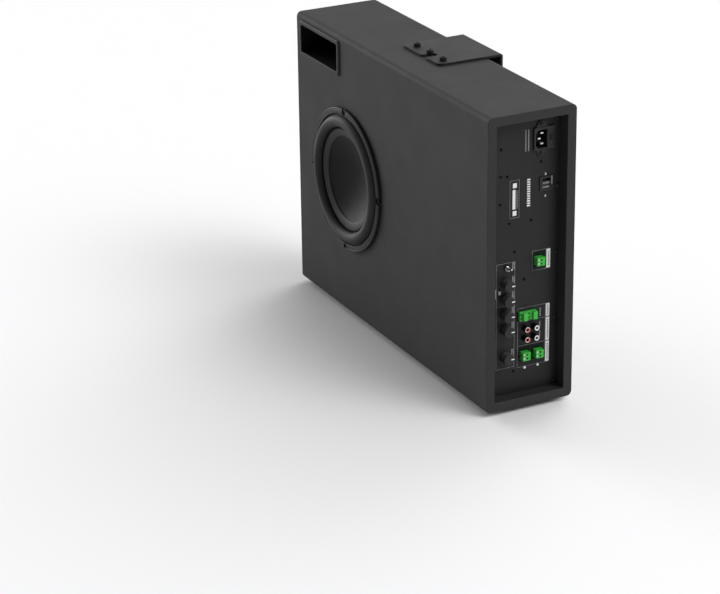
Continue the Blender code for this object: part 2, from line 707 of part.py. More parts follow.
def power_parts(finishes):
    base, fin_tip, fin = -PLATE - GAP, -0.0300, 0.0020
    root = base - 0.005
    outline = [(0.0240, base), (0.0240, fin_tip)]
    count, pitch = 7, 0.006
    for i in range(count):
        left = 0.0240 + i * pitch
        outline += [(left + fin, fin_tip), (left + fin, root)]
        if i < count - 1:
            outline += [(left + pitch, root), (left + pitch, fin_tip)]
    last = 0.0240 + (count - 1) * pitch + fin
    outline = outline[:-1] + [(last, base)]
    turn = Matrix(((0, 1, 0, PLATE_X), (1, 0, 0, FRONT), (0, 0, 1, BOTTOM), (0, 0, 0, 1)))
    prism("heatsink", outline, finishes["aluminium"], turn, 0.2450, 0.3520)

    torus = []
    steps = 10
    for i in range(steps):
        a = 2 * pi * i / steps
        torus.append((0.028 + 0.014 * cos(a), 0.016 * sin(a)))
    back = DIVIDER_X + WALL + 0.0165
    middle = Matrix.Translation((back, FRONT + DEPTH / 2, BOTTOM + 0.120)) @ Matrix.Rotation(pi / 2, 4, "Y")
    lathe("mains_transformer", torus, finishes["copper"], middle, steps=28)

    for number, y in enumerate((0.045, 0.083), 1):
        top = -0.0362
        profile = ((0.0125, top - 0.030), (0.0125, top))
        turn = OUT_END @ Matrix.Translation((y, 0.300, 0))
        lathe(f"reservoir_capacitor_{number}", profile, finishes["plastic_black"], turn, False, 20)


def amplifier(finishes):
    amplifier_panel(finishes["panel_paint"])
    mains_inlet(finishes)
    voltage_selector(finishes)
    knobs(finishes["plastic_black"])
    switches(finishes)
    jacks(finishes["steel_bright"])
    terminal_plugs(finishes["plastic_green"])
    boards(finishes["circuit_board"])
    power_parts(finishes)


# --- Hanging bracket ------------------------------------------------------------------------------
def bracket_slot():
    """The outline of the open slot: rounded mouth corners and a half-round end."""
    half, mouth = (SLOT_RIGHT - SLOT_LEFT) / 2, SLOT_MOUTH
    steps = 4
    side = [(SLOT_LEFT - mouth, BRACKET_FRONT - mouth)]
    for i in range(steps + 1):
        a = i / steps * pi / 2
        side.append((SLOT_LEFT - mouth * (1 - sin(a)), BRACKET_FRONT + mouth * (1 - cos(a))))
    for i in range(steps + 1):
        a = i / steps * pi / 2
        side.append((SLOT_LEFT + half * (1 - cos(a)), SLOT_END - half * (1 - sin(a))))
    other = [(SLOT_LEFT + SLOT_RIGHT - x, y) for x, y in reversed(side[:-1])]
    return side + other


def bracket(finishes):
    """A steel plate screwed to the top, bent down behind the cabinet to hang on a wall."""
    low, high = TOP + GAP, TOP + GAP + STEEL
    right, back = BRACKET_LEFT + BRACKET_WIDTH, BACK + BACK_REACH
    corner = BRACKET_CORNER
    steps = 4
    arc = [i / steps * pi / 2 for i in range(steps + 1)]
    outline = [(right, back), (BRACKET_LEFT, back)]
    for a in arc:
        outline.append((BRACKET_LEFT + corner * (1 - cos(a)), BRACKET_FRONT + corner * (1 - sin(a))))
    for a in reversed(arc):
        outline.append((right - corner * (1 - cos(a)), BRACKET_FRONT + corner * (1 - sin(a))))
    plate = prism("hanging_bracket", outline, finishes["steel_black"], None, low, high)
    drop = block(
        "tool_bracket_drop",
        (BRACKET_LEFT, back - STEEL, high - BRACKET_DROP),
        (right, back, high),
        None,
    )
    join(plate, drop)

    places = bracket_screw_places()
    bm = bmesh.new()
    for place in places:
        add_rod(bm, place, 0.0027, low - STEEL, high + STEEL)
    cut(plate, add_object("tool_bracket_holes", bm))
    bm = bmesh.new()
    add_skin(bm, [[(x, y, height) for x, y in bracket_slot()] for height in (low - STEEL, high + STEEL)])
    cut(plate, add_object("tool_bracket_slot", bm))
    hole_turn = Matrix.Translation((0, back, high - 0.024)) @ Matrix.Rotation(pi / 2, 4, "X")
    bm = bmesh.new()
    for side in (-1, 1):
        add_rod(bm, ((BRACKET_LEFT + right) / 2 + side * 0.030, 0), 0.003, -0.01, 0.01)
    cut(plate, add_object("tool_bracket_wall_holes", bm, turn=hole_turn))

    head = high + 0.0001
    profile = (
        (0.0023, TOP - 0.016), (0.0023, head), (CAP_RADIUS, head), (CAP_RADIUS, head + CAP_HEIGHT - 0.0004),
        (CAP_RADIUS - 0.0004, head + CAP_HEIGHT), (0.0021, head + CAP_HEIGHT), (0.0021, head + 0.0026),
    )
    for number, place in enumerate(places, 1):
        turn = Matrix.Translation((*place, 0))
        lathe(f"bracket_screw_{number}", profile, finishes["steel_black"], turn, False, 12)


def build():
    clear_scene()
    finishes = {
        "board_paint": material("board_paint", (0.060, 0.060, 0.062), 0.55),
        "panel_paint": material("panel_paint", (0.030, 0.030, 0.031), 0.45, 0.2),
        "steel_black": material("steel_black", (0.025, 0.025, 0.026), 0.40, 0.4),
        "steel_bright": material("steel_bright", (0.62, 0.62, 0.60), 0.30, 1.0),
        "aluminium": material("aluminium", (0.70, 0.70, 0.71), 0.40, 1.0),
        "ferrite": material("ferrite", (0.055, 0.055, 0.055), 0.60),
        "copper": material("copper", (0.62, 0.30, 0.15), 0.35, 1.0),
        "rubber": material("rubber", (0.022, 0.022, 0.023), 0.50),
        "cone": material("cone", (0.030, 0.030, 0.031), 0.60),
        "cloth": material("cloth", (0.42, 0.33, 0.18), 0.85),
        "plastic_black": material("plastic_black", (0.018, 0.018, 0.018), 0.45),
        "plastic_grey": material("plastic_grey", (0.060, 0.060, 0.062), 0.45),
        "plastic_green": material("plastic_green", (0.03, 0.42, 0.05), 0.40),
        "circuit_board": material("circuit_board", (0.02, 0.12, 0.05), 0.45),
    }
    cabinet(finishes["board_paint"])
    amplifier_mounting_frame(finishes["board_paint"])
    feet(finishes["rubber"])
    port_duct(finishes["plastic_black"])
    woofer(finishes)
    amplifier(finishes)
    bracket(finishes)


build()
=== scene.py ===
from math import cos, hypot, pi, radians, sin

import bmesh
import bpy
from mathutils import Matrix, Vector


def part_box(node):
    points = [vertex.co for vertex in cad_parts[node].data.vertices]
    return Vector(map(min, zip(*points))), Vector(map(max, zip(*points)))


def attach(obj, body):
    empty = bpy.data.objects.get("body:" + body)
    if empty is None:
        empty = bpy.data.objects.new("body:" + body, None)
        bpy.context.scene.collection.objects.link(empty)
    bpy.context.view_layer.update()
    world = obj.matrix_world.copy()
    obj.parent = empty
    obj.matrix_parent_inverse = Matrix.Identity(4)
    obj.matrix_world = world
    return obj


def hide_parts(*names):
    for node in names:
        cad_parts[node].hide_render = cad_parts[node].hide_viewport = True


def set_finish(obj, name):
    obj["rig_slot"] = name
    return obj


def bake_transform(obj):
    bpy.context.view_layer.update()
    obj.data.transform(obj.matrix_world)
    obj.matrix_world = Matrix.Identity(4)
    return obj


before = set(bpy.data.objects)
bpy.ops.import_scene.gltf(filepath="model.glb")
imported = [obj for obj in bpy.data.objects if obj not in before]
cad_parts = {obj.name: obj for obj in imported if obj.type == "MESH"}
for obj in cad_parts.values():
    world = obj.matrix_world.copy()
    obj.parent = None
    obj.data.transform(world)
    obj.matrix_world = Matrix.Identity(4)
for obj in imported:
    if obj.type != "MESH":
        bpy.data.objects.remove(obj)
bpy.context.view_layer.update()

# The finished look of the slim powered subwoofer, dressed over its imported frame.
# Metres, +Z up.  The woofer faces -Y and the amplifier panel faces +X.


def middle(node):
    low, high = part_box(node)
    return (low + high) / 2


# --- Driving dimensions, read from the frame ---
LEFT, FRONT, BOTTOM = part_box("bottom_panel")[0]
RIGHT, BACK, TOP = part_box("top_panel")[1]
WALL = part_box("front_baffle")[1].y - FRONT
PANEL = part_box("amplifier_panel")[1].x
EDGE_RADIUS = 0.0072
WOOFER = Vector((middle("cone").x, FRONT, middle("cone").z))
FLANGE_RADIUS = (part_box("woofer_frame")[1].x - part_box("woofer_frame")[0].x) / 2
BOLT_CIRCLE = middle("woofer_screw_1").x - WOOFER.x
CONE_EDGE = (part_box("cone")[1].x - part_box("cone")[0].x) / 2
COIL_RADIUS = (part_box("voice_coil")[1].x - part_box("voice_coil")[0].x) / 2 - 0.0007

# Pieces are drawn upright and turned: OUT_FRONT points their height out of the woofer face, and
# OUT_END points it out of the amplifier panel, with their x along +Y and their y along +Z.
OUT_FRONT = Matrix.Rotation(pi / 2, 4, "X")
OUT_END = Matrix(((0, 0, 1, 0), (1, 0, 0, 0), (0, 1, 0, 0), (0, 0, 0, 1)))
FROM_WOOFER = Matrix.Translation(WOOFER) @ OUT_FRONT
FROM_PANEL = Matrix.Translation((PANEL, FRONT, BOTTOM)) @ OUT_END


def on_panel(node):
    """The place on the panel's front face in front of a CAD node's middle."""
    spot = middle(node)
    return Matrix.Translation((PANEL, spot.y, spot.z)) @ OUT_END


def panel_spot(across, up, out=0.0):
    return FROM_PANEL @ Matrix.Translation((across, up, out))


def panel_box(node):
    """A CAD node's low and high corners in the panel's drawing axes."""
    low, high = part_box(node)
    corner = Vector((PANEL, FRONT, BOTTOM))
    low, high = low - corner, high - corner
    return Vector((low.y, low.z, low.x)), Vector((high.y, high.z, high.x))


# --- Materials ---
def add_node(tree, kind, inputs=None, **settings):
    """A shader node with its settings, and with its inputs set to values or linked to sockets."""
    made = tree.nodes.new("ShaderNode" + kind)
    for setting, value in settings.items():
        setattr(made, setting, value)
    for key, value in (inputs or {}).items():
        if isinstance(value, bpy.types.NodeSocket):
            tree.links.new(value, made.inputs[key])
        else:
            made.inputs[key].default_value = value
    return made


LOOKS = {}
MIX_FACTOR, MIX_A, MIX_B, MIX_RESULT = 0, 6, 7, 2


def mix_colour(tree, factor, low, high, blend="MIX"):
    inputs = {MIX_FACTOR: factor, MIX_A: low, MIX_B: high}
    mixed = add_node(tree, "Mix", inputs, data_type="RGBA", blend_type=blend)
    return mixed.outputs[MIX_RESULT]


def arithmetic(tree, operation, first, second):
    made = add_node(tree, "Math", {0: first, 1: second}, operation=operation)
    return made.outputs[0]


def remap(tree, value, low, high, from_low=0.0, from_high=1.0):
    inputs = {
        "Value": value, "From Min": from_low, "From Max": from_high, "To Min": low, "To Max": high,
    }
    return add_node(tree, "MapRange", inputs).outputs["Result"]


def shade(colour, factor):
    return (*(channel * factor for channel in colour), 1.0)


def surface(
    name, colour, roughness, metallic=0.0, grain=0.0008, relief=0.00004, mottle=0.10,
    edge_wear_and_highlight=0.35, wear_and_highlight_grey=0.25, stretch=(1, 1, 1), coat=0.0, shine=0.5, pattern=None,
):
    """Adds a look with fine grain, broad colour and roughness variation, and edges lightened partly as
    rubbing and partly as a painted edge highlight.

    A colour that is one number is a grey.  grain is the size of the fine variation.  wear is how
    strongly edges lighten towards the grey level worn.  pattern(tree, place) may add more relief.
    """
    patch, round_edge = 0.05, 0.0004
    if isinstance(colour, float):
        colour = (colour, colour, colour)
    made = bpy.data.materials.new(f"{name}_look")
    made.use_nodes = True
    made.diffuse_color = (*colour, 1.0)
    tree = made.node_tree
    shader = tree.nodes["Principled BSDF"]
    place = add_node(tree, "TexCoord").outputs["Object"]
    stretched = add_node(tree, "Mapping", {"Vector": place, "Scale": stretch}).outputs["Vector"]
    fine = add_node(tree, "TexNoise", {"Vector": stretched, "Scale": 1 / grain, "Detail": 4.0})
    broad = add_node(tree, "TexNoise", {"Vector": place, "Scale": 1 / patch, "Detail": 5.0})
    tone = mix_colour(tree, broad.outputs["Fac"], shade(colour, 1 - mottle), shade(colour, 1 + mottle))
    speck = remap(tree, fine.outputs["Fac"], 1 - mottle, 1 + mottle, 0.3, 0.7)
    tone = mix_colour(tree, 1.0, tone, speck, "MULTIPLY")

    # Edges lighten towards the grey worn in broad patches: partly rubbing, partly a painted edge highlight.
    rounded = add_node(tree, "Bevel", {"Radius": round_edge}, samples=4).outputs["Normal"]
    facing = add_node(tree, "NewGeometry").outputs["Normal"]
    aligned = add_node(tree, "VectorMath", {0: rounded, 1: facing}, operation="DOT_PRODUCT")
    edge = remap(tree, aligned.outputs["Value"], edge_wear_and_highlight, 0.0, 0.75, 0.99)
    rubbed_and_highlit = arithmetic(tree, "MULTIPLY", edge, remap(tree, broad.outputs["Fac"], 0.2, 1.0, 0.4, 0.6))
    tone = mix_colour(tree, rubbed_and_highlit, tone, (wear_and_highlight_grey, wear_and_highlight_grey, wear_and_highlight_grey, 1.0))

    height = fine.outputs["Fac"]
    if pattern:
        height = arithmetic(tree, "ADD", height, pattern(tree, place))
    inputs = {"Strength": 1.0, "Distance": relief, "Height": height, "Normal": rounded}
    bumped = add_node(tree, "Bump", inputs).outputs["Normal"]
    gloss = remap(tree, broad.outputs["Fac"], roughness - 0.06, roughness + 0.06, 0.3, 0.7)
    tree.links.new(tone, shader.inputs["Base Color"])
    tree.links.new(gloss, shader.inputs["Roughness"])
    tree.links.new(bumped, shader.inputs["Normal"])
    shader.inputs["Metallic"].default_value = metallic
    shader.inputs["Specular IOR Level"].default_value = shine
    shader.inputs["Coat Weight"].default_value = coat
    shader.inputs["Coat Roughness"].default_value = 0.15
    LOOKS[name] = made


def radius_of(tree, place):
    """Distance from a turned piece's own axis."""
    flat = add_node(tree, "VectorMath", {0: place, 1: (1, 1, 0)}, operation="MULTIPLY")
    length = add_node(tree, "VectorMath", {0: flat.outputs["Vector"]}, operation="LENGTH")
    return length.outputs["Value"]


def ripple(tree, value, pitch):
    """A wave of height 0 to 1 that repeats every pitch along value."""
    swing = arithmetic(tree, "SINE", arithmetic(tree, "MULTIPLY", value, 2 * pi / pitch), 0.0)
    return remap(tree, swing, 0.0, 1.0, -1.0, 1.0)


def turned_rings(tree, place):
    return ripple(tree, radius_of(tree, place), 0.0006)


def wire_turns(tree, place):
    return ripple(tree, add_node(tree, "SeparateXYZ", {0: place}).outputs["Z"], 0.0004)


def toroid_turns(tree, place):
    apart = add_node(tree, "SeparateXYZ", {0: place})
    angle = arithmetic(tree, "ARCTAN2", apart.outputs["Y"], apart.outputs["X"])
    return ripple(tree, angle, 2 * pi / 160)


def weave(tree, place):
    apart = add_node(tree, "SeparateXYZ", {0: place})
    across, along = ripple(tree, apart.outputs["X"], 0.0009), ripple(tree, apart.outputs["Y"], 0.0009)
    return arithmetic(tree, "MULTIPLY", across, along)


def copper_tracks(tree, place):
    inputs = {"Vector": place, "Scale": 260.0, "Randomness": 0.3}
    cells = add_node(tree, "TexVoronoi", inputs, distance="CHEBYCHEV", feature="F1")
    return remap(tree, cells.outputs["Distance"], 0.0, 1.0, 0.2, 0.25)


def make_looks():
    copper, toroid = (0.60, 0.28, 0.12), {"grain": 0.0005, "mottle": 0.12, "wear_and_highlight_grey": 0.6, "coat": 0.4}
    flat = {"relief": 0.00001, "edge_wear_and_highlight": 0.0}
    surface("board_paint", 0.038, 0.62, grain=0.0011, relief=0.00006, mottle=0.04, shine=0.09)
    # Painted shade: a darker paint for the faces inside the amplifier bay.
    surface("recess_shade", 0.016, 0.85, mottle=0.15, edge_wear_and_highlight=0.1, shine=0.3)
    surface("raw_board", (0.20, 0.14, 0.085), 0.85, grain=0.0006, mottle=0.2, edge_wear_and_highlight=0.2)
    surface(
        "panel_paint", (0.015, 0.015, 0.016), 0.50, grain=0.0005, relief=0.00003, mottle=0.06, shine=0.25,
    )
    surface("steel_black", (0.024, 0.024, 0.025), 0.50, grain=0.0006, shine=0.12)
    surface(
        "bolt_black", 0.005, 0.50, grain=0.0003, relief=0.00001, edge_wear_and_highlight=0.2, wear_and_highlight_grey=0.05, shine=0.08,
    )
    surface(
        "steel_bright", (0.62, 0.62, 0.60), 0.28, 1.0, grain=0.0003, relief=0.000006, mottle=0.05,
        wear_and_highlight_grey=0.8, pattern=turned_rings,
    )
    surface(
        "zinc", (0.74, 0.74, 0.72), 0.32, 0.3, grain=0.0003, relief=0.000006, mottle=0.05, wear_and_highlight_grey=0.85,
    )
    surface(
        "aluminium", (0.66, 0.66, 0.67), 0.38, 1.0, grain=0.0006, relief=0.00001, mottle=0.06,
        wear_and_highlight_grey=0.8, stretch=(1, 1, 0.05),
    )
    surface("ferrite", (0.05, 0.05, 0.052), 0.6, grain=0.0009, relief=0.0001, mottle=0.2)
    surface("copper", copper, 0.3, 1.0, relief=0.0001, pattern=wire_turns, **toroid)
    surface("transformer", copper, 0.3, 1.0, relief=0.0005, pattern=toroid_turns, **toroid)
    surface("rubber", 0.028, 0.65, grain=0.0005, relief=0.00002, wear_and_highlight_grey=0.1, shine=0.18)
    surface("collar", 0.028, 0.55, grain=0.0005, relief=0.00003, wear_and_highlight_grey=0.06, shine=0.15)
    surface(
        "cone", 0.011, 0.60, grain=0.0006, relief=0.00005, mottle=0.12, wear_and_highlight_grey=0.05, shine=0.15,
        pattern=turned_rings,
    )
    surface(
        "cloth", (0.42, 0.33, 0.18), 0.85, grain=0.0004, relief=0.0002, mottle=0.15, wear_and_highlight_grey=0.4,
        pattern=weave,
    )
    surface("plastic_black", 0.014, 0.42, grain=0.0004, relief=0.00002, shine=0.35)
    surface(
        "header_green", (0.004, 0.014, 0.006), 0.5, relief=0.00001, edge_wear_and_highlight=0.1, wear_and_highlight_grey=0.05, shine=0.1,
    )
    surface("port_plastic", 0.026, 0.55, grain=0.0004, relief=0.00002, shine=0.12)
    surface("plastic_grey", 0.05, 0.42, grain=0.0004, relief=0.00002)
    surface(
        "plastic_green", (0.030, 0.42, 0.035), 0.34, grain=0.0005, relief=0.00001, mottle=0.06,
        wear_and_highlight_grey=0.3, edge_wear_and_highlight=0.15, coat=0.1,
    )
    # Painted highlight: a light grey that stands for the highlight on the phase slider's nub.
    surface("slider_highlight_grey", (0.45, 0.45, 0.44), 0.40, mottle=0.04, **flat)
    surface("plastic_white", (0.82, 0.82, 0.80), 0.35, mottle=0.03, **flat)
    surface("plastic_red", (0.58, 0.08, 0.08), 0.35, mottle=0.05, **flat)
    surface("print_white", 0.80, 0.55, grain=0.0003, mottle=0.08, edge_wear_and_highlight=0.0)
    surface("print_grey", 0.38, 0.55, grain=0.0003, mottle=0.08, edge_wear_and_highlight=0.0)
    surface(
        "circuit_board", (0.02, 0.12, 0.05), 0.4, grain=0.0006, mottle=0.15, coat=0.5,
        pattern=copper_tracks,
    )


# --- Shape helpers ---
def add_skin(bm, loops, closed=False):
    """Faces from each loop of points to the next, closed into a ring or capped at both ends."""
    rings = [[bm.verts.new(point) for point in loop] for loop in loops]
    pairs = list(zip(rings, rings[1:]))
    if closed:
        pairs.append((rings[-1], rings[0]))
    for low, high in pairs:
        for i in range(len(low)):
            j = (i + 1) % len(low)
            bm.faces.new((low[i], low[j], high[j], high[i]))
    if not closed:
        bm.faces.new(rings[0])
        bm.faces.new(rings[-1])


def drawn(add, *shape):
    """A new mesh holding the one shape that add draws."""
    bm = bmesh.new()
    add(bm, *shape)
    return bm


def circle(radius, height, steps, centre=(0, 0)):
    turns = [2 * pi * i / steps for i in range(steps)]
    return [(centre[0] + radius * cos(a), centre[1] + radius * sin(a), height) for a in turns]


def arc(centre, radius, start, end, steps):
    """Points of a (radius, height) profile round a centre, from one angle to another in degrees."""
    turns = [radians(start + (end - start) * i / steps) for i in range(steps + 1)]
    return [(centre[0] + radius * cos(a), centre[1] + radius * sin(a)) for a in turns]


def rounded_rectangle(low, high, radius, height, steps=6):
    points = []
    corners = ((high[0], high[1], 0), (low[0], high[1], 1), (low[0], low[1], 2), (high[0], low[1], 3))
    for x, y, quarter in corners:
        centre_x = x - radius if quarter in (0, 3) else x + radius
        centre_y = y - radius if quarter in (0, 1) else y + radius
        for i in range(steps + 1):
            angle = (quarter + i / steps) * pi / 2
            points.append((centre_x + radius * cos(angle), centre_y + radius * sin(angle), height))
    return points


def add_box(bm, low, high):
    centre = (Vector(low) + Vector(high)) / 2
    size = Vector(high) - Vector(low)
    bmesh.ops.create_cube(bm, size=1.0, matrix=Matrix.Translation(centre) @ Matrix.Diagonal((*size, 1.0)))


def add_rod(bm, centre, radius, low, high, steps=32):
    add_skin(bm, [circle(radius, low, steps, centre), circle(radius, high, steps, centre)])


def add_pad(bm, low, high, corner, edge, steps=5):
    """A box with rounded upright edges and a softened front, between two corners."""
    x0, y0, z0 = low
    x1, y1, z1 = high
    loops = [rounded_rectangle((x0, y0), (x1, y1), corner, z0, steps)]
    for share in (0.0, 0.3, 0.7, 1.0):
        inset = edge * (1 - cos(share * pi / 2))
        height = z1 - edge * (1 - sin(share * pi / 2))
        shrunk = ((x0 + inset, y0 + inset), (x1 - inset, y1 - inset))
        loops.append(rounded_rectangle(*shrunk, max(corner - inset, corner * 0.3), height, steps))
    add_skin(bm, loops)


def new_piece(name, bm, look, turn=None, body="cabinet", slot=None, nodes=(), crisp=35):
    """A finished piece from bm that rides on a body and stands for the named CAD nodes.

    It fills the frame's material slot of the same name as its look, unless slot names another.
    """
    bmesh.ops.recalc_face_normals(bm, faces=bm.faces)
    if bm.calc_volume(signed=True) < 0:
        bmesh.ops.reverse_faces(bm, faces=bm.faces)
    for face in bm.faces:
        face.smooth = True
    mesh = bpy.data.meshes.new(name)
    bm.to_mesh(mesh)
    bm.free()
    mesh.set_sharp_from_angle(angle=radians(crisp))
    piece = bpy.data.objects.new(name, mesh)
    bpy.context.scene.collection.objects.link(piece)
    if look:
        mesh.materials.append(LOOKS[look])
        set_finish(piece, slot or look)
    if turn:
        piece.matrix_world = turn
    if body:
        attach(piece, body)
    if nodes:
        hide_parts(*nodes)
    return piece


def carve(piece, bm, operation="DIFFERENCE"):
    """Cuts the closed shapes in bm, drawn in the piece's own axes, out of the piece."""
    turn = piece.matrix_world.copy()
    tool = new_piece("tool", bm, None, turn, body=None)
    change = piece.modifiers.new("Carve", "BOOLEAN")
    change.operation = operation
    change.solver = "EXACT"
    change.object = tool
    graph = bpy.context.evaluated_depsgraph_get()
    mesh = bpy.data.meshes.new_from_object(piece.evaluated_get(graph))
    piece.modifiers.clear()
    piece.data = mesh
    bpy.data.objects.remove(tool)
    for face in mesh.polygons:
        face.use_smooth = True
    mesh.set_sharp_from_angle(angle=radians(35))


def soften(piece, width, segments=2):
    """Rounds the hard edges of a piece and keeps its flat faces flat."""
    bevel = piece.modifiers.new("Soften", "BEVEL")
    bevel.width = width
    bevel.segments = segments
    bevel.limit_method = "ANGLE"
    bevel.angle_limit = radians(40)
    bevel.use_clamp_overlap = True
    flatten = piece.modifiers.new("Flatten", "WEIGHTED_NORMAL")
    flatten.keep_sharp = True


def lathe(name, profile, look, turn, steps=96, closed=False, **where):
    """A turned piece from (radius, height) points: a ring if closed, else capped at both ends."""
    rings = [circle(radius, height, steps) for radius, height in profile]
    return new_piece(name, drawn(add_skin, rings, closed), look, turn, **where)


# --- Screws, drawn once and used many times ---
def add_cross(bm, reach, half, low, high):
    outline = [(reach, -half), (reach, half), (half, half)]
    for _ in range(3):
        outline += [(-y, x) for x, y in outline[-3:]]
    add_skin(bm, [[(x, y, height) for x, y in outline] for height in (low, high)])


def cross_screw(name, look, turn, head, proud, length, **where):
    """A pan-head screw whose head, of a radius and a height, sits on its drawing's zero."""
    shank = head * 0.5
    profile = [(shank * 0.6, -length), (shank, -length * 0.85), (shank, 0), (head, 0)]
    profile += [(head, proud * 0.35)]
    profile += arc((head * 0.62, proud * 0.35), head * 0.38, 15, 75, 3)
    profile = [(radius, min(height, proud)) for radius, height in profile] + [(head * 0.55, proud)]
    screw = lathe(name, profile, look, turn, 28, **where)
    carve(screw, drawn(add_cross, head * 0.55, head * 0.11, proud * 0.35, proud * 3))
    return screw


def copies(piece, places, names, body="cabinet", nodes=()):
    """More pieces with the same mesh, one at each place."""
    made = []
    for number, (place, name) in enumerate(zip(places, names)):
        twin = bpy.data.objects.new(name, piece.data)
        bpy.context.scene.collection.objects.link(twin)
        twin.matrix_world = place
        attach(twin, body)
        if "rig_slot" in piece:
            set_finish(twin, piece["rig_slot"])
        if nodes:
            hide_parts(nodes[number])
        made.append(twin)
    return made


# --- Cabinet ---
def port_corners():
    low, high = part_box("port_duct")
    lip = 0.0048
    return (low.x + lip, low.z + lip), (high.x - lip, high.z - lip)


def cabinet_skin():
    """One seamless painted shell over the boards, open at the amplifier end."""
    edge, steps = 0.0005, 10

    def outside(x, inset):
        low, high = (FRONT + inset, BOTTOM + inset), (BACK - inset, TOP - inset)
        return [(x, y, z) for y, z, _ in rounded_rectangle(low, high, EDGE_RADIUS, 0, steps)]

    def inside(x, grown):
        wall = WALL - grown
        low, high = (FRONT + wall, BOTTOM + wall), (BACK - wall, TOP - wall)
        return [(x, y, z) for y, z, _ in rounded_rectangle(low, high, 0.0005, 0, steps)]

    bm = bmesh.new()
    add_skin(bm, (
        outside(LEFT, edge), outside(LEFT + edge, 0), outside(RIGHT - edge, 0), outside(RIGHT, edge),
        inside(RIGHT, edge), inside(RIGHT - edge, 0), inside(LEFT + WALL, 0),
    ))
    boards = ("front_baffle", "back_panel", "top_panel", "bottom_panel", "left_end_panel")
    skin = new_piece("cabinet_skin", bm, "board_paint", nodes=boards)
    (x0, z0), (x1, z1) = port_corners()
    clear = 0.0002
    bm = bmesh.new()
    add_box(bm, (x0 - clear, FRONT - WALL, z0 - clear), (x1 + clear, FRONT + 2 * WALL, z1 - clear))
    carve(skin, bm)
    bm = bmesh.new()
    baffle_hole = 0.0915
    add_rod(bm, (0, 0), baffle_hole, -2 * WALL, WALL, 128)
    bmesh.ops.transform(bm, matrix=FROM_WOOFER, verts=bm.verts)
    carve(skin, bm)
    # The faces inside the amplifier bay take the darker look: painted shade in the recess.
    skin.data.materials.append(LOOKS["recess_shade"])
    slack = 0.0001
    for face in skin.data.polygons:
        x, y, z = face.center
        within_y = FRONT + WALL - slack < y < BACK - WALL + slack
        within_z = BOTTOM + WALL - slack < z < TOP - WALL + slack
        if within_y and within_z and LEFT + slack < x < RIGHT - edge:
            face.material_index = 1
    flatten = skin.modifiers.new("Flatten", "WEIGHTED_NORMAL")
    flatten.keep_sharp = True


def port():
    """The moulded slot port: a rounded lip on the baffle, a flared mouth and a straight duct."""
    low, high = port_corners()
    duct_low, duct_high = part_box("port_duct")
    proud, back = FRONT - duct_low.y, FRONT - duct_high.y
    lip, lip_round, wall, flare = low[0] - duct_low.x, 0.0025, 0.0012, 0.0006
    steps = 8

    def loop(inset, height, radius):
        shrunk = ((low[0] + inset, low[1] + inset), (high[0] - inset, high[1] - inset))
        return rounded_rectangle(*shrunk, radius, height, steps)

    under = 0.0002
    loops = [loop(0, back, 0.002), loop(0, under, 0.002), loop(-lip, under, 0.0055)]
    for inset, height in arc((-lip + lip_round, proud - lip_round), lip_round, 180, 90, steps):
        loops.append(loop(inset, height, 0.0055 - (inset + lip) * 0.5))
    for i in range(steps + 1):
        a = i / steps * pi / 2
        loops.append(loop(-under + (wall + under) * sin(a), proud - flare * (1 - cos(a)), 0.003))
    loops.append(loop(wall, back, 0.003))
    bm = drawn(add_skin, loops, True)
    turn = Matrix.Translation((0, FRONT, 0)) @ OUT_FRONT
    tube = new_piece("slot_port", bm, "port_plastic", turn, slot="plastic_black", nodes=["port_duct"])
    # Faces deeper than mouth_depth inside the duct take the near-black look: painted shade in the duct.
    tube.data.materials.append(LOOKS["bolt_black"])
    mouth_depth = 0.0015
    for face in tube.data.polygons:
        if (tube.matrix_world @ face.center).y > FRONT + mouth_depth:
            face.material_index = 1


def rubber_feet():
    low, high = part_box("foot_1")
    radius, height = (high.x - low.x) / 2, high.z - low.z
    profile = [(0.0022, 0.0018), (0.0030, 0.0004), (radius - 0.0030, 0.0)]
    profile += arc((radius - 0.0018, 0.0018), 0.0018, -90, 0, 5)
    profile += [(radius * 0.94, height - 0.0004), (radius * 0.90, height)]
    for number in range(1, 5):
        node = f"foot_{number}"
        spot = middle(node)
        turn = Matrix.Translation((spot.x, spot.y, 0))
        lathe(f"rubber_{node}", profile, "rubber", turn, 40, nodes=[node])


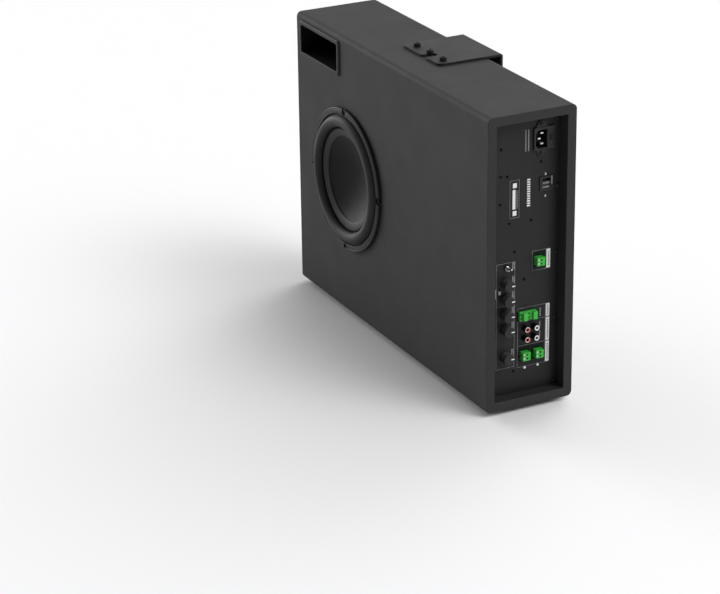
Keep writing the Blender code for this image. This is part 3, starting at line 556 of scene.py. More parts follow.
# --- Woofer ---
def woofer_basket():
    """The frame: a flat flange with four open screw notches, and a windowed basket behind it."""
    rim, face = FLANGE_RADIUS, 0.005
    profile = [(0.0905, 0.0010), (rim - 0.0003, 0.0010), (rim, 0.0013)]
    profile += arc((rim - 0.0014, face - 0.0014), 0.0014, 0, 90, 6)
    profile += [(0.0992, face), (0.0988, face - 0.0004), (0.0984, face - 0.0004), (0.0980, face)]
    profile += [(0.0940, face)] + arc((0.0940, face - 0.0010), 0.0010, 90, 180, 5)[1:]
    profile += [
        (0.0928, 0.0015), (0.0860, 0.0015), (0.0840, -0.0060), (0.0800, -0.0130),
        (0.0605, -0.0360), (0.0450, -0.0360), (0.0450, -0.0385), (0.0565, -0.0385),
        (0.0520, -0.0468), (0.0300, -0.0468), (0.0300, -0.0496), (0.0530, -0.0496),
        (0.0560, -0.0460), (0.0840, -0.0140), (0.0905, -0.0060),
    ]
    basket = lathe(
        "woofer_basket", profile, "steel_black", FROM_WOOFER, 160, closed=True, nodes=["woofer_frame"],
    )
    for i in range(3):
        bm = bmesh.new()
        add_box(bm, (-0.12, -0.019, -0.033), (0.12, 0.019, -0.013))
        turn = Matrix.Rotation((i + 0.5) * pi / 3, 4, "Z")
        bmesh.ops.transform(bm, matrix=turn, verts=bm.verts)
        carve(basket, bm)
    bm = bmesh.new()
    notch, notch_floor, notch_out = 0.0052, 0.0014, BOLT_CIRCLE + 0.0007
    places = [(cos(i * pi / 2), sin(i * pi / 2)) for i in range(4)]
    for x, y in places:
        add_rod(bm, (x * notch_out, y * notch_out), notch, notch_floor, 0.010, 40)
    carve(basket, bm)
    bm = bmesh.new()
    for x, y in places:
        add_rod(bm, (x * BOLT_CIRCLE, y * BOLT_CIRCLE), 0.0023, -0.005, 0.010, 20)
    carve(basket, bm)
    soften(basket, 0.0002)

    turns = [FROM_WOOFER @ Matrix.Translation((x * BOLT_CIRCLE, y * BOLT_CIRCLE, notch_floor + 0.0002))
             @ Matrix.Rotation(0.4 + 1.1 * number, 4, "Z") for number, (x, y) in enumerate(places)]
    nodes = [f"woofer_screw_{number}" for number in (1, 2, 3, 4)]
    screw = cross_screw(
        "woofer_bolt_1", "bolt_black", turns[0], 0.0040, 0.0022, 0.0140,
        slot="steel_black", nodes=[nodes[0]],
    )
    copies(screw, turns[1:], ("woofer_bolt_2", "woofer_bolt_3", "woofer_bolt_4"), nodes=nodes[1:])
    gasket = [(0.0918, 0.0002), (0.0956, 0.0002), (0.0956, 0.0008), (0.0918, 0.0008)]
    lathe(
        "woofer_gasket_ring", gasket, "rubber", FROM_WOOFER, 128, closed=True, nodes=["woofer_gasket"],
    )


def bend_by_radius(piece):
    """Bakes a ring's placement into its mesh."""
    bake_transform(piece)


def surround_roll():
    """The half-roll rubber surround, with a flat at its outer edge."""
    centre, half, height, base, rubber, steps = 0.0821, 0.0083, 0.008, 0.0025, 0.0012, 28
    turns = [i / steps * pi for i in range(steps + 1)]
    outer = [(centre - half * cos(a), base + height * sin(a)) for a in turns]
    inner = [(centre - (half - rubber) * cos(a), base + (height - rubber) * sin(a)) for a in turns]
    flat = [(0.0915, 0.0026), (0.0922, 0.0024), (0.0923, 0.0017), (0.0885, 0.0017)]
    ring = lathe(
        "surround_roll", outer + flat + inner[::-1], "rubber", FROM_WOOFER, 192, closed=True,
        body=None, nodes=["surround"],
    )
    bend_by_radius(ring)


DISH_RADIUS = 0.060


def dish(radius):
    """Height of the cone's front inside its sloping band."""
    rim, depth = -0.0026, 0.0200
    return rim - depth * (1 - (radius / DISH_RADIUS) ** 2)


def cone_skin():
    """The cone: a deep dish, a sloping band that the surround is glued to, and a collar on it."""
    skin, count, tip = 0.0016, 22, 0.0005
    radii = [tip + (DISH_RADIUS - tip) * i / count for i in range(count + 1)]
    front = [(r, dish(r)) for r in radii[:-1]]
    back = [(r, dish(r) - skin) for r in radii]
    edge = [
        (0.0600, -0.0026), (0.0606, -0.0022), (0.0704, 0.0010), (0.0718, 0.0017),
        (CONE_EDGE - 0.0006, 0.0022), (CONE_EDGE, 0.0020), (CONE_EDGE, 0.0004),
    ]
    lathe(
        "cone_dish", back + edge[::-1] + front[::-1], "cone", FROM_WOOFER, 160,
        body="cone", nodes=["cone"],
    )
    collar = [(0.0603, -0.0020), (0.0607, -0.0012), (0.0616, -0.0007), (0.0700, 0.0023), (0.0708, 0.0021)]
    collar += [(0.0708, 0.0014), (0.0606, -0.0020)]
    lathe("cone_collar", collar, "collar", FROM_WOOFER, 160, closed=True, body="cone", slot="cone")


def coil_and_spider():
    neck = dish(COIL_RADIUS) - 0.0020
    former, wound = COIL_RADIUS - 0.0005, COIL_RADIUS + 0.0007
    profile = [
        (former, -0.0640), (COIL_RADIUS, -0.0640), (COIL_RADIUS, -0.0620), (wound, -0.0618),
        (wound, -0.0462), (COIL_RADIUS, -0.0460), (COIL_RADIUS, neck), (former, neck),
    ]
    lathe(
        "coil_winding", profile, "copper", FROM_WOOFER, 96, closed=True,
        body="cone", nodes=["voice_coil"],
    )
    inner, outer, wave, cloth, waves, steps = COIL_RADIUS + 0.00035, 0.0445, 0.0014, 0.0008, 2.5, 50
    top = []
    for i in range(steps + 1):
        share = i / steps
        top.append((inner + (outer - inner) * share, -0.0340 + wave * sin(share * waves * 2 * pi)))
    upper = top + [(0.0465, -0.0349), (0.0520, -0.0349)]
    lower = [(radius, height - cloth) for radius, height in upper]
    ring = lathe(
        "spider_cloth", upper + lower[::-1], "cloth", FROM_WOOFER, 128, closed=True,
        body=None, nodes=["spider"],
    )
    bend_by_radius(ring)


def motor():
    """The ring magnet between its two steel plates, each with softened corners."""
    bevel = 0.0006
    for node, inner, look in (
        ("magnet_front_plate", COIL_RADIUS + 0.0013, "steel_bright"), ("magnet", 0.026, "ferrite"),
    ):
        low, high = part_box(node)
        outer, top, base = (high.x - low.x) / 2, FRONT - low.y, FRONT - high.y
        profile = [
            (inner, base + bevel), (inner + bevel, base), (outer - bevel, base), (outer, base + bevel),
            (outer, top - bevel), (outer - bevel, top), (inner + bevel, top), (inner, top - bevel),
        ]
        lathe(f"{node}_ring", profile, look, FROM_WOOFER, 96, closed=True, nodes=[node])
    low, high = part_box("magnet_yoke")
    outer, top, base = (high.x - low.x) / 2, FRONT - low.y, FRONT - high.y
    plate, pole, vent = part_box("magnet")[1].y, COIL_RADIUS - 0.0011, 0.006
    shelf = FRONT - plate - 0.0002
    profile = [
        (vent, base + bevel), (vent + bevel, base), (outer - bevel, base), (outer, base + bevel),
        (outer, shelf), (pole, shelf), (pole, top - bevel), (pole - bevel, top), (vent, top),
    ]
    lathe(
        "pole_and_back_plate", profile, "steel_bright", FROM_WOOFER, 96, closed=True, nodes=["magnet_yoke"],
    )


# --- Amplifier panel ---
INK_BACK, INK_FACE = 0.00003, 0.00010  # a printed mark's back and face, above the panel
MM = 0.001
SCREW_SEAT = 0.0001


def ink(bm, y0, y1, z0, z1, lift=0.0):
    """A printed rectangle between millimetres from the panel's front and bottom edges."""
    add_box(bm, (y0 * MM, z0 * MM, INK_BACK + lift), (y1 * MM, z1 * MM, INK_FACE + lift))


def ink_outline(bm, y0, y1, z0, z1, width=0.3):
    ink(bm, y0, y1, z0, z0 + width)
    ink(bm, y0, y1, z1 - width, z1)
    ink(bm, y0, y0 + width, z0 + width, z1 - width)
    ink(bm, y1 - width, y1, z0 + width, z1 - width)


def ink_caption(bm, y, z0, z1, width, marks, lift=0.0):
    """A row of plain dashes up the panel, where the real one has a line of print."""
    pitch = (z1 - z0) / marks
    for i in range(marks):
        low = z0 + i * pitch
        ink(bm, y - width / 2, y + width / 2, low, low + pitch * 0.62, lift)


def knob_rows():
    return [(middle(f"knob_{i}").z - BOTTOM) / MM for i in range(1, 6)]


def panel_print():
    """Grey outlines and dashes and white strips; the dashes stand for words."""
    bm = bmesh.new()
    ink(bm, 47.0, 51.2, 266.5, 292.5)
    for z in (257.8, 295.0):
        ink(bm, 47.4, 53.0, z, z + 6.4)
    ink_caption(bm, 70.4, 267, 305, 4.6, 12)
    ink(bm, 98.0, 103.7, 178.0, 204.2)
    for low, high in ((47.0, 75.9), (77.0, 109.4), (110.7, 128.6)):
        ink(bm, 98.4, 103.8, low, high)
    new_piece("panel_print", bm, "print_white", FROM_PANEL, slot="panel_paint")

    bm = bmesh.new()
    line = 0.3
    for y in (65.4, 69.5):
        ink_caption(bm, y, 341, 370, 1.4, 16)
    ink(bm, 23.0, 24.2, 149, 161.6)
    ink_outline(bm, 43.1, 56.9, 254.8, 305.3)
    for y in (52.8, 54.6):
        ink_caption(bm, y, 267, 292, 0.7, 12)
    ink_outline(bm, 24.8, 51.8, 49.5, 195.5)
    ink(bm, 24.8, 51.8, 136.8, 136.8 + line)
    captions = [(185.5, 196.0)] + [(row - 0.5, row + 9.5) for row in knob_rows()]
    for low, high in captions:
        for y in (48.4, 50.6):
            ink_caption(bm, y, low, high, 1.4, 6)
    ink_outline(bm, 77.0, 97.5, 177.5, 204.7)
    ink_outline(bm, 56.5, 97.8, 46.5, 129.0)
    for z in (76.4, 110.0):
        ink(bm, 56.5, 97.8, z, z + line)
    ink_caption(bm, 90.0, 113, 125, 1.6, 5)
    for low, high in ((85, 93), (98, 106)):
        ink_caption(bm, 89.6, low, high, 1.4, 4)
    new_piece("panel_print_grey", bm, "print_grey", FROM_PANEL, slot="panel_paint")

    bm = bmesh.new()
    lift = INK_FACE
    ink_caption(bm, 101.1, 181, 201, 1.2, 9, lift)
    for low, high, marks in ((50, 73, 10), (80, 107, 12), (113, 127, 6)):
        ink_caption(bm, 101.3, low, high, 1.2, marks, lift)
    new_piece("panel_print_dark", bm, "plastic_black", FROM_PANEL, slot="panel_paint")


def panel_screws():
    edge_low, pitch = 18.0, 90.2
    spots = [(y, edge_low + i * pitch) for y in (16.2, 111.8) for i in range(5)]
    places = [panel_spot(y * MM, z * MM, SCREW_SEAT) for y, z in spots]
    names = [f"panel_edge_screw_{i}" for i in range(1, 11)]
    screw = cross_screw(names[0], "plastic_black", places[0], 0.0028, 0.0017, 0.012, slot="steel_black")
    copies(screw, places[1:], names[1:])
    spots = (
        (29.7, 349.3), (29.7, 312.8), (39.1, 311.8), (88.2, 323.9), (29.3, 276.2),
        (42.6, 248.3), (74.7, 247.9), (51.0, 208.5), (65.4, 168.6), (50.9, 43.1),
    )
    places = [panel_spot(y * MM, z * MM, SCREW_SEAT) for y, z in spots]
    names = [f"panel_small_screw_{i}" for i in range(1, 11)]
    screw = cross_screw(names[0], "bolt_black", places[0], 0.0018, 0.0010, 0.006, slot="steel_black")
    copies(screw, places[1:], names[1:])


def indicator_lamps():
    """Two small domed lamp lenses under the line plugs."""
    lens = 0.0019
    profile = [(lens, -0.004), (lens, 0.0003)]
    profile += arc((0.0, 0.0003), lens, 10, 80, 6)
    for number, y in enumerate((0.0672, 0.0867), 1):
        turn = panel_spot(y, 0.0451)
        lathe(f"indicator_lens_{number}", profile, "plastic_white", turn, 32, slot="plastic_grey")


def mains_inlet():
    """A three-pin inlet with a keyed socket, screw ears above and below, and a fuse bay."""
    low, high = panel_box("mains_inlet")
    ear, face, back = 0.0085, high.z, low.z
    y0, y1, z0, z1 = low.x, high.x, low.y + ear, high.y - ear
    socket = (y0 + 0.0025, y0 + 0.0190, z0 + 0.0020, z1 - 0.0035)
    socket_y = (socket[0] + socket[1]) / 2
    bm = drawn(add_pad, (y0, z0, 0.0002), (y1, z1, face), 0.0016, 0.0005)
    housing = new_piece("inlet_housing", bm, "plastic_black", FROM_PANEL, nodes=["mains_inlet"])
    tip, shoulder, ear_face = 0.0028, 0.0110, 0.0018
    for start, end in ((z1 - 0.002, z1 + ear), (z0 + 0.002, z0 - ear)):
        bm = bmesh.new()
        outline = [
            (socket_y - shoulder + 0.0025, start), (socket_y - tip, end),
            (socket_y + tip, end), (socket_y + shoulder, start),
        ]
        add_skin(bm, [[(y, z, w) for y, z in outline] for w in (0.0002, ear_face)])
        carve(housing, bm, "UNION")
    inset = 0.0012
    cutter = drawn(add_box, (y0 + inset, z0 + inset, back), (y1 - inset, z1 - inset, 0.001))
    carve(housing, cutter, "UNION")

    key = 0.0042
    a, b, c, d = socket
    outline = [(b, c), (b, d), (a + key, d), (a, d - key), (a, c + key), (a + key, c)]
    carve(housing, drawn(add_skin, [[(y, z, w) for y, z in outline] for w in (-0.0150, 0.010)]))
    fuse_low, fuse_high = panel_box("fuse_drawer")
    slack = 0.0003
    bm = bmesh.new()
    add_box(
        bm, (fuse_low.x - slack, fuse_low.y - slack, -0.0190),
        (fuse_high.x + slack, fuse_high.y + slack, 0.010),
    )
    carve(housing, bm)
    ear_screw = 0.0045
    spots = [(socket_y, z1 + ear_screw), (socket_y, z0 - ear_screw)]
    bm = bmesh.new()
    for y, z in spots:
        add_rod(bm, (y, z), 0.0016, -0.010, 0.010)
    carve(housing, bm)
    soften(housing, 0.0002)
    places = [panel_spot(y, z, ear_face + SCREW_SEAT) for y, z in spots]
    names = ("inlet_screw_1", "inlet_screw_2")
    screw = cross_screw(names[0], "steel_black", places[0], 0.0027, 0.0012, 0.009)
    copies(screw, places[1:], names[1:])

    grip, behind = 0.0014, -0.0185
    near, far = (fuse_low.x, fuse_low.y, behind), (fuse_high.x, fuse_high.y, fuse_high.z - grip)
    bm = drawn(add_pad, near, far, 0.0006, 0.0003)
    drawer = new_piece(
        "fuse_drawer_front", bm, "plastic_black", FROM_PANEL, body="fuse_drawer", nodes=["fuse_drawer"],
    )
    centre = (fuse_low + fuse_high) / 2
    bm = bmesh.new()
    for side in (-1, 0, 1):
        y = centre.x + side * 0.0013
        add_box(bm, (y - 0.0004, centre.y - 0.004, 0.0015), (y + 0.0004, centre.y + 0.004, fuse_high.z))
    carve(drawer, bm, "UNION")
    soften(drawer, 0.00015)


def voltage_selector():
    """The selector keeps its two solids; two bright screws hold it and plain dashes mark it."""
    low, high = panel_box("voltage_selector_body")
    centre = (low + high) / 2
    aside, sunk, spread = 0.0008, 0.0021, 0.01445
    places = [
        panel_spot(centre.x - aside, centre.y - sunk + side * spread, SCREW_SEAT) for side in (-1, 1)
    ]
    names = ("selector_screw_1", "selector_screw_2")
    screw = cross_screw(names[0], "steel_bright", places[0], 0.0016, 0.0012, 0.008)
    copies(screw, places[1:], names[1:])
    slider_low, slider_high = panel_box("voltage_selector_slider")
    ledge = (slider_low.x + 0.0010, slider_high.x - 0.0010)
    bm = bmesh.new()
    for share in (0.18, 0.74):
        z = slider_low.y + (slider_high.y - slider_low.y) * share
        add_box(bm, (ledge[0], z, slider_high.z), (ledge[1], z + 0.0009, slider_high.z + INK_FACE))
    new_piece(
        "selector_marks", bm, "print_grey", FROM_PANEL, body="voltage_slider", slot="plastic_grey",
    )
    bm = bmesh.new()
    add_box(bm, (0.1029, 0.2920, high.z), (0.1041, 0.3030, high.z + INK_FACE))
    new_piece("selector_index", bm, "print_grey", FROM_PANEL, slot="plastic_grey")


def rotary_knobs():
    """Five fluted knobs, each with a white pointer over its face and down its side."""
    low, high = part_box("knob_1")
    rim, top, shaft = (high.y - low.y) / 2, high.x - PANEL, 0.003
    flutes, steps, flute = 20, 160, 0.00035
    crown, face = 0.0005, rim - 0.0002
    profile = [(shaft, -0.0050, 0), (shaft, 0.0010, 0), (rim - 0.0004, 0.0010, 0), (rim, 0.0014, 0)]
    profile += [(rim, 0.0026, 0), (rim - 0.0001, 0.0030, 1), (face, top - crown - 0.0004, 1)]
    profile += [(face, top - crown, 0)]
    for radius, height in arc((face - crown, top - crown), crown, 15, 90, 6):
        profile.append((radius, height, 0))
    profile.append((rim * 0.1, top, 0))

    def flared(radius, height, fluted):
        points = []
        for i in range(steps):
            a = 2 * pi * i / steps
            cut = fluted * flute * (0.5 - 0.5 * cos(flutes * a)) ** 3
            points.append(((radius - cut) * cos(a), (radius - cut) * sin(a), height))
        return points

    half, lift = 0.00075, 0.00012
    path = [(rim * 0.35, top)] + arc((face - crown, top - crown), crown, 88, 0, 6)
    path += [(face, 0.0055)]
    for number in range(1, 6):
        node = f"knob_{number}"
        bm = bmesh.new()
        add_skin(bm, [flared(*row) for row in profile])
        where = {"body": node, "slot": "plastic_black"}
        knob = new_piece(f"fluted_{node}", bm, "plastic_black", on_panel(node), nodes=[node], **where)
        # The knob's sides take the lighter grey look: painted light on sides that face away from the lamps.
        knob.data.materials.append(LOOKS["plastic_grey"])
        for side in knob.data.polygons:
            if abs(side.normal.z) < 0.5:
                side.material_index = 1
        bm = bmesh.new()
        strip = []
        for radius, height in path:
            inner, outer = radius - 0.0004, radius + lift
            strip.append([
                (inner, -half, height - 0.0004), (inner, half, height - 0.0004),
                (outer, half, height + lift), (outer, -half, height + lift),
            ])
        add_skin(bm, strip)
        new_piece(f"pointer_{number}", bm, "print_white", on_panel(node), **where)


def toggle_switch():
    """A bat-handled toggle in a threaded bushing with a hexagon nut and a washer."""
    place = on_panel("toggle_bushing")
    bright = "steel_bright"
    thread, root, pitch = 0.0030, 0.00275, 0.0005
    profile = [(thread, -0.0100), (thread, 0.0002)]
    for i in range(9):
        height = 0.0004 + i * pitch
        profile += [(root, height), (thread, height + pitch / 2)]
    profile += [(0.0028, 0.0050), (0.0024, 0.0050), (0.0018, 0.0012)]
    lathe("toggle_thread", profile, bright, place, 48, nodes=["toggle_bushing"])
    washer = [(0.0031, 0.0001), (0.0046, 0.0001), (0.0046, 0.0005), (0.0031, 0.0005)]
    lathe("toggle_washer", washer, "bolt_black", place, 48, closed=True, slot=bright)
    bm = bmesh.new()
    hexagon = [(0.0031, 0.00055), (0.0036, 0.00055), (0.0038, 0.00075)]
    hexagon += [(0.0038, 0.0018), (0.0035, 0.0020), (0.0031, 0.0020)]
    add_skin(bm, [circle(radius, height, 6) for radius, height in hexagon], closed=True)
    nut = new_piece("toggle_nut", bm, bright, place, crisp=20)
    soften(nut, 0.0001)
    low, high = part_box("toggle_lever")
    pivot, tilt = 0.0022, radians(12)
    lever_turn = place @ Matrix.Translation((0, 0, pivot)) @ Matrix.Rotation(-tilt, 4, "X")
    profile = [(0.0009, -0.0006), (0.0010, 0.0020), (0.0013, 0.0060), (0.0017, 0.0100)]
    profile += arc((0.0, 0.0101), 0.0017, 5, 78, 6)
    lathe("toggle_bat", profile, bright, lever_turn, 32, body="toggle", nodes=["toggle_lever"])


def phono_jacks():
    """Phono sockets: a black barrel, a plated ring on its end, and a coloured insulator inside."""
    rim, top, bore, ring_width, thread = 0.0037, panel_box("rca_jack_1")[1].z, 0.0018, 0.0006, 0.0041
    cap = top - 0.0008
    barrel = [(bore, -0.0080), (thread, -0.0080), (thread, cap - 0.0003), (rim, cap), (bore, cap)]
    ring = [(rim - ring_width, cap), (rim, cap), (rim, top - 0.0003), (rim - 0.0003, top)]
    ring.append((rim - ring_width, top))
    insulator = [(bore, cap), (rim - ring_width, cap), (rim - ring_width, top - 0.0002)]
    insulator += [(bore + 0.0003, top - 0.0002), (bore, top - 0.0005)]
    leaf_in, leaf_out, leaf_back = bore - 0.0006, bore - 0.0001, -0.0050
    contact = [(leaf_in, leaf_back), (leaf_out, leaf_back), (leaf_out, 0.0), (leaf_in, 0.0)]
    for number in range(1, 5):
        node = f"rca_jack_{number}"
        place = on_panel(node)
        colour = "plastic_red" if number < 3 else "plastic_white"
        where = {"closed": True, "slot": "steel_bright"}
        lathe(f"phono_barrel_{number}", barrel, "bolt_black", place, 56, nodes=[node], **where)
        lathe(f"phono_ring_{number}", ring, "zinc", place, 56, **where)
        lathe(f"phono_insulator_{number}", insulator, colour, place, 56, **where)
        lathe(f"phono_contact_{number}", contact, "steel_bright", place, 32, **where)


def add_pole(bm_wells, bm_screws, spot, face):
    """The screw well and the slotted clamp screw in it, beside one wire hole."""
    well, head, sunk = 0.0017, 0.0015, 0.0012
    add_rod(bm_wells, spot, well, face - sunk, face + 0.002, 24)
    shape = [(head, face - sunk), (head, face - sunk + 0.0005), (head * 0.8, face - sunk + 0.0007)]
    add_skin(bm_screws, [circle(radius, height, 24, spot) for radius, height in shape])


def plug_header(name, look, plug_low, plug_high, low, high):
    """The dark header a plug goes into: a rim in the panel, round an opening for the plug."""
    clear = 0.0002
    bm = bmesh.new()
    add_box(bm, (*low, -0.0030), (*high, 0.0003))
    rim = new_piece(name, bm, look, FROM_PANEL, slot="plastic_black")
    bm = bmesh.new()
    add_box(
        bm,
        (plug_low.x - clear, plug_low.y - clear, -0.01), (plug_high.x + clear, plug_high.y + clear, 0.01),
    )
    bmesh.ops.transform(bm, matrix=FROM_PANEL, verts=bm.verts)
    carve(rim, bm)
    soften(rim, 0.0001)


def terminal_plugs():
    """Green screw-terminal plugs: two poles each, and four for the loudspeaker."""
    wire, bottom, seam, over = 0.0013, 0.0015, 0.0006, 0.001
    headers = {
        "trigger_plug": ((0.0790, 0.1810), (0.0962, 0.2026)),
        "line_plug_1": ((0.0585, 0.0550), (0.0751, 0.0742)),
        "line_plug_2": ((0.0773, 0.0550), (0.0941, 0.0742)),
    }
    for node in ("trigger_plug", "line_plug_1", "line_plug_2"):
        low, high = panel_box(node)
        centre = (low + high) / 2
        face = high.z
        bm = drawn(add_pad, low, high, 0.0005, 0.0003)
        where = {"body": node, "slot": "plastic_green"}
        plug = new_piece(f"{node}_body", bm, "plastic_green", FROM_PANEL, nodes=[node], **where)
        wells, screws, holes = bmesh.new(), bmesh.new(), bmesh.new()
        for side in (-1, 1):
            z = centre.y + side * 0.00254
            add_pole(wells, screws, (centre.x - 0.0030, z), face)
            y = centre.x + 0.0007
            add_box(holes, (y - wire, z - wire, bottom), (y + wire, z + wire, 0.02))
        for y0, y1 in ((low.x - over, low.x + seam), (high.x - seam, high.x + over)):
            add_box(holes, (y0, centre.y - 0.0002, face - 0.003), (y1, centre.y + 0.0002, 0.02))
        carve(plug, wells)
        carve(plug, holes)
        soften(plug, 0.00015)
        new_piece(f"{node}_screws", screws, "zinc", FROM_PANEL, **where)
        plug_header(f"{node}_header", "header_green", low, high, *headers[node])

    low, high = panel_box("speaker_plug")
    centre, face = (low + high) / 2, high.z
    step = face - 0.0042
    bm = drawn(add_pad, low, (high.x, high.y, step), 0.0005, 0.0003)
    where = {"body": "speaker_plug", "slot": "plastic_green"}
    plug = new_piece(
        "speaker_plug_body", bm, "plastic_green", FROM_PANEL, nodes=["speaker_plug"], **where,
    )
    column, depth = 0.0061, 0.0003
    for start in (low.x + 0.0037, high.x - column - 0.0003):
        near, far = (start, low.y + depth, 0.0), (start + column, high.y - depth, face)
        carve(plug, drawn(add_pad, near, far, 0.0006, 0.0004), "UNION")
    holes, clamps, clamp = bmesh.new(), bmesh.new(), wire * 0.8
    for y in (low.x + 0.0019, centre.x + 0.0014):
        for side in (-1, 1):
            z = centre.y + side * 0.0028
            add_box(holes, (y - wire, z - wire, bottom - 0.003), (y + wire, z + wire, 0.02))
            add_box(clamps, (y - clamp, z - clamp, bottom - 0.0028), (y + clamp, z + clamp, bottom))
    carve(plug, holes)
    soften(plug, 0.00015)
    new_piece("speaker_plug_clamps", clamps, "steel_bright", FROM_PANEL, **where)
    margin, thin = 0.0022, 0.0007
    outer_low, outer_high = (low.x - margin, low.y - margin), (high.x + thin, high.y + thin)
    plug_header("speaker_plug_header", "header_green", low, high, outer_low, outer_high)


# --- Behind the panel ---
def transformer_and_capacitors():
    low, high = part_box("mains_transformer")
    outer, half = (high.z - low.z) / 2, (high.x - low.x) / 2
    core = 0.014
    ring = [((outer - core) + core * cos(a), half * sin(a)) for a in
            (2 * pi * i / 40 for i in range(40))]
    spot = Matrix.Translation((low + high) / 2) @ Matrix.Rotation(pi / 2, 4, "Y")
    lathe(
        "toroid_winding", ring, "transformer", spot, 120, closed=True, slot="copper",
        nodes=["mains_transformer"],
    )
    for number in (1, 2):
        node = f"reservoir_capacitor_{number}"
        low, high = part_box(node)
        radius, length = (high.y - low.y) / 2, high.x - low.x
        spot = middle(node)
        turn = Matrix.Translation((high.x, spot.y, spot.z)) @ Matrix.Rotation(-pi / 2, 4, "Y")
        profile = [(radius - 0.0008, 0.0), (radius, 0.0008), (radius, length - 0.0060)]
        profile += arc((radius, length - 0.0048), 0.0012, 270, 90, 6)
        profile += [(radius, length - 0.0012), (radius - 0.0006, length), (radius - 0.0018, length)]
        profile += [(radius - 0.0020, length - 0.0004)]
        lathe(f"can_{node}", profile, "plastic_black", turn, 72, nodes=[node])


# --- Hanging bracket ---
def corner_wedge(corner, inward, radius, low, high):
    """What a rounded corner leaves out of a square one, as two loops to skin."""
    (x, y), (side_x, side_y), over, steps = corner, inward, 0.002, 10
    centre = (x + side_x * radius, y + side_y * radius)
    outline = [(x - side_x * over, y - side_y * over), (x - side_x * over, centre[1])]
    for i in range(steps + 1):
        a = i / steps * pi / 2
        outline.append((centre[0] - side_x * radius * cos(a), centre[1] - side_y * radius * sin(a)))
    outline.append((centre[0], y - side_y * over))
    return [[(px, py, height) for px, py in outline] for height in (low, high)]


def open_slot(left, right, front, end, mouth):
    """The outline of a slot open at the front: rounded mouth corners and a half-round end."""
    half = (right - left) / 2
    side = [(left - mouth, front - mouth)]
    side += arc((left - mouth, front + mouth), mouth, -90, 0, 6)
    side += arc((left + half, end - half), half, 180, 90, 8)
    return side + [(left + right - x, y) for x, y in reversed(side[:-1])]


def bracket_plate():
    """A bent steel strip: slotted plate on top, flange with two wall holes behind."""
    (left, front, drop_end), (right, back, top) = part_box("hanging_bracket")
    steel, outer = 0.003, 0.0032
    bend = (back - outer, top - outer)
    profile = [(front, top - steel), (front, top)] + arc(bend, outer, 90, 0, 8)
    profile += [(back, drop_end), (back - steel, drop_end)] + arc(bend, outer - steel, 0, 90, 8)
    bm = bmesh.new()
    add_skin(bm, [[(x, y, z) for y, z in profile] for x in (left, right)])
    plate = new_piece("bracket_plate", bm, "steel_black", nodes=["hanging_bracket"])
    bm = bmesh.new()
    for x, side in ((left, 1), (right, -1)):
        add_skin(bm, corner_wedge((x, front), (side, 1), 0.008, top - 2 * steel, top + steel))
    carve(plate, bm)
    bm = bmesh.new()
    slot = open_slot(left + 0.0553, left + 0.0667, front, front + 0.0195, 0.004)
    add_skin(bm, [[(x, y, height) for x, y in slot] for height in (top - 2 * steel, top + steel)])
    carve(plate, bm)
    bm = bmesh.new()
    for number in (1, 2, 3):
        spot = middle(f"bracket_screw_{number}")
        add_rod(bm, (spot.x, spot.y), 0.0027, top - 2 * steel, top + steel)
    carve(plate, bm)
    # The flange is cut in axes turned to face +Y: x is world X and y is world Z.
    bm = bmesh.new()
    for side in (-1, 1):
        add_rod(bm, ((left + right) / 2 + side * 0.030, top - 0.024), 0.003, -back - 0.01, -back + 0.01)
    for x, side in ((left, 1), (right, -1)):
        add_skin(bm, corner_wedge((x, drop_end), (side, 1), 0.006, -back - 0.01, -back + 0.01))
    bmesh.ops.transform(bm, matrix=OUT_FRONT, verts=bm.verts)
    carve(plate, bm)
    soften(plate, 0.0004, 3)

    head, tall, shank = 0.0048, 0.0052, 0.0023
    profile = [(shank * 0.7, -0.0190), (shank, -0.0180), (shank, 0.0), (head - 0.0002, 0.0), (head, 0.0003)]
    profile += [(head, tall - 0.0005)] + arc((head - 0.0005, tall - 0.0005), 0.0005, 15, 90, 4)
    profile += [(0.0027, tall), (0.0023, tall - 0.0003)]
    places = []
    for number in (1, 2, 3):
        spot = middle(f"bracket_screw_{number}")
        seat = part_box(f"bracket_screw_{number}")[1].z - tall
        turn = Matrix.Rotation(0.5 * number, 4, "Z")
        places.append(Matrix.Translation((spot.x, spot.y, seat)) @ turn)
    bolt = lathe("bracket_bolt_1", profile, "steel_black", places[0], 48, nodes=["bracket_screw_1"])
    socket, sunk = 0.0021, 0.0026
    carve(bolt, drawn(add_rod, (0, 0), socket, tall - sunk, tall + 0.002, 6))
    names, nodes = ("bracket_bolt_2", "bracket_bolt_3"), ("bracket_screw_2", "bracket_screw_3")
    copies(bolt, places[1:], names, nodes=nodes)


# --- Solids that keep their CAD shape ---
def finish_cad_solids():
    """New materials and softened edges for the CAD solids that are still shown."""
    choices = {
        "raw_board": ("amplifier_bay_divider", "amplifier_mounting_frame"),
        "panel_paint": ("amplifier_panel",),
        "circuit_board": ("control_board", "input_board", "power_board"),
        "aluminium": ("heatsink",),
        "plastic_black": ("voltage_selector_body",),
        # The phase slider is painted light grey as a painted highlight on its nub.
        "slider_highlight_grey": ("phase_slider",),
        "plastic_grey": ("voltage_selector_slider",),
        "steel_bright": ("mains_pin_earth", "mains_pin_live", "mains_pin_neutral"),
    }
    widths = {"amplifier_panel": 0.0002, "heatsink": 0.0003, "phase_slider": 0.0003}
    usual = 0.00035
    for look, nodes in choices.items():
        for node in nodes:
            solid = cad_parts[node]
            solid.data.materials.clear()
            solid.data.materials.append(LOOKS[look])
            soften(solid, widths.get(node, usual))


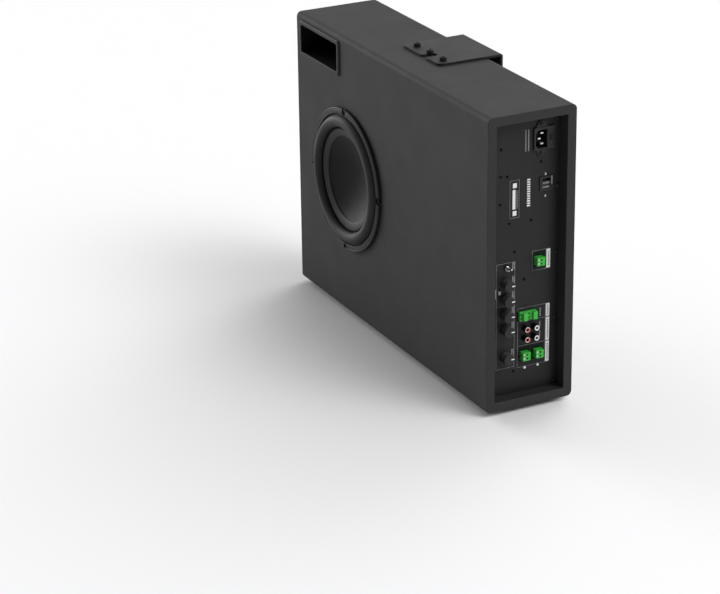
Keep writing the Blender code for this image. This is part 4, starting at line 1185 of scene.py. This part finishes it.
# --- Floor, light and camera ---
# Broad soft lamps all round: azimuth from +X towards +Y, elevation, tightness and strength.
SOFT_LAMPS = (
    (30, 48, 20, 8.1),
    (60, 25, 20, 0.63),
    (90, 25, 20, 1.85),
    (120, 25, 20, 4.5),
    (120, 48, 20, 0.73),
    (180, 20, 4, 1.1),
    (197, 4, 40, 10.0),
    (200, 12, 24, 4.0),
    (230, 12, 16, 1.15),
    (270, 6, 4, 0.45),
)


def studio():
    """A pale floor under a white sky made of a few broad, soft lamps."""
    floor_look = bpy.data.materials.new("studio_floor")
    floor_look.use_nodes = True
    shader = floor_look.node_tree.nodes["Principled BSDF"]
    shader.inputs["Base Color"].default_value = (0.82, 0.82, 0.83, 1)
    shader.inputs["Roughness"].default_value = 0.6
    bm = bmesh.new()
    bmesh.ops.create_grid(bm, x_segments=1, y_segments=1, size=12)
    mesh = bpy.data.meshes.new("floor")
    bm.to_mesh(mesh)
    bm.free()
    mesh.materials.append(floor_look)
    floor = bpy.data.objects.new("floor", mesh)
    bpy.context.scene.collection.objects.link(floor)

    world = bpy.data.worlds.new("studio")
    world.use_nodes = True
    tree = world.node_tree
    aim = add_node(tree, "TexCoord").outputs["Generated"]
    glow = 0.0
    for azimuth, elevation, tightness, strength in SOFT_LAMPS:
        a, e = radians(azimuth), radians(elevation)
        towards = (cos(a) * cos(e), sin(a) * cos(e), sin(e))
        facing = add_node(tree, "VectorMath", {0: aim, 1: towards}, operation="DOT_PRODUCT")
        ahead = arithmetic(tree, "MAXIMUM", facing.outputs["Value"], 0.0)
        lobe = arithmetic(tree, "POWER", ahead, tightness)
        glow = arithmetic(tree, "ADD", glow, arithmetic(tree, "MULTIPLY", lobe, strength))
    tree.links.new(glow, tree.nodes["Background"].inputs["Strength"])
    tree.nodes["Background"].inputs["Color"].default_value = (1, 1, 1, 1)
    bpy.context.scene.world = world


def camera():
    """The camera looks down the amplifier end from its right, a little above."""
    azimuth, elevation, roll = radians(63.195), radians(22.411), radians(-0.734)
    back = Vector((
        sin(azimuth) * cos(elevation), -cos(azimuth) * cos(elevation), sin(elevation),
    ))
    across = Vector((cos(azimuth), sin(azimuth), 0))
    up = back.cross(across)
    right = across * cos(roll) + up * sin(roll)
    up = up * cos(roll) - across * sin(roll)
    lens = bpy.data.cameras.new("camera")
    lens.lens, lens.sensor_width, lens.sensor_fit = 131.88, 36.0, "HORIZONTAL"
    eye = bpy.data.objects.new("camera", lens)
    height = TOP - BOTTOM
    aim = Vector((0, (FRONT + BACK) / 2, BOTTOM))
    aside, above, away = -0.24018, 0.12340, 9.1002  # in cabinet heights
    spot = aim + (right * aside + up * above + back * away) * height
    turn = Matrix((right, up, back)).transposed().to_4x4()
    eye.matrix_world = Matrix.Translation(spot) @ turn
    bpy.context.scene.collection.objects.link(eye)
    bpy.context.scene.camera = eye
    bpy.context.scene.view_settings.view_transform = "Standard"


PARTS = (
    cabinet_skin, port, rubber_feet, woofer_basket, surround_roll, cone_skin, coil_and_spider, motor,
    panel_print, panel_screws, indicator_lamps, mains_inlet, voltage_selector, rotary_knobs,
    toggle_switch, phono_jacks, terminal_plugs, transformer_and_capacitors, bracket_plate,
    finish_cad_solids, studio, camera,
)

make_looks()
for part in PARTS:
    part()
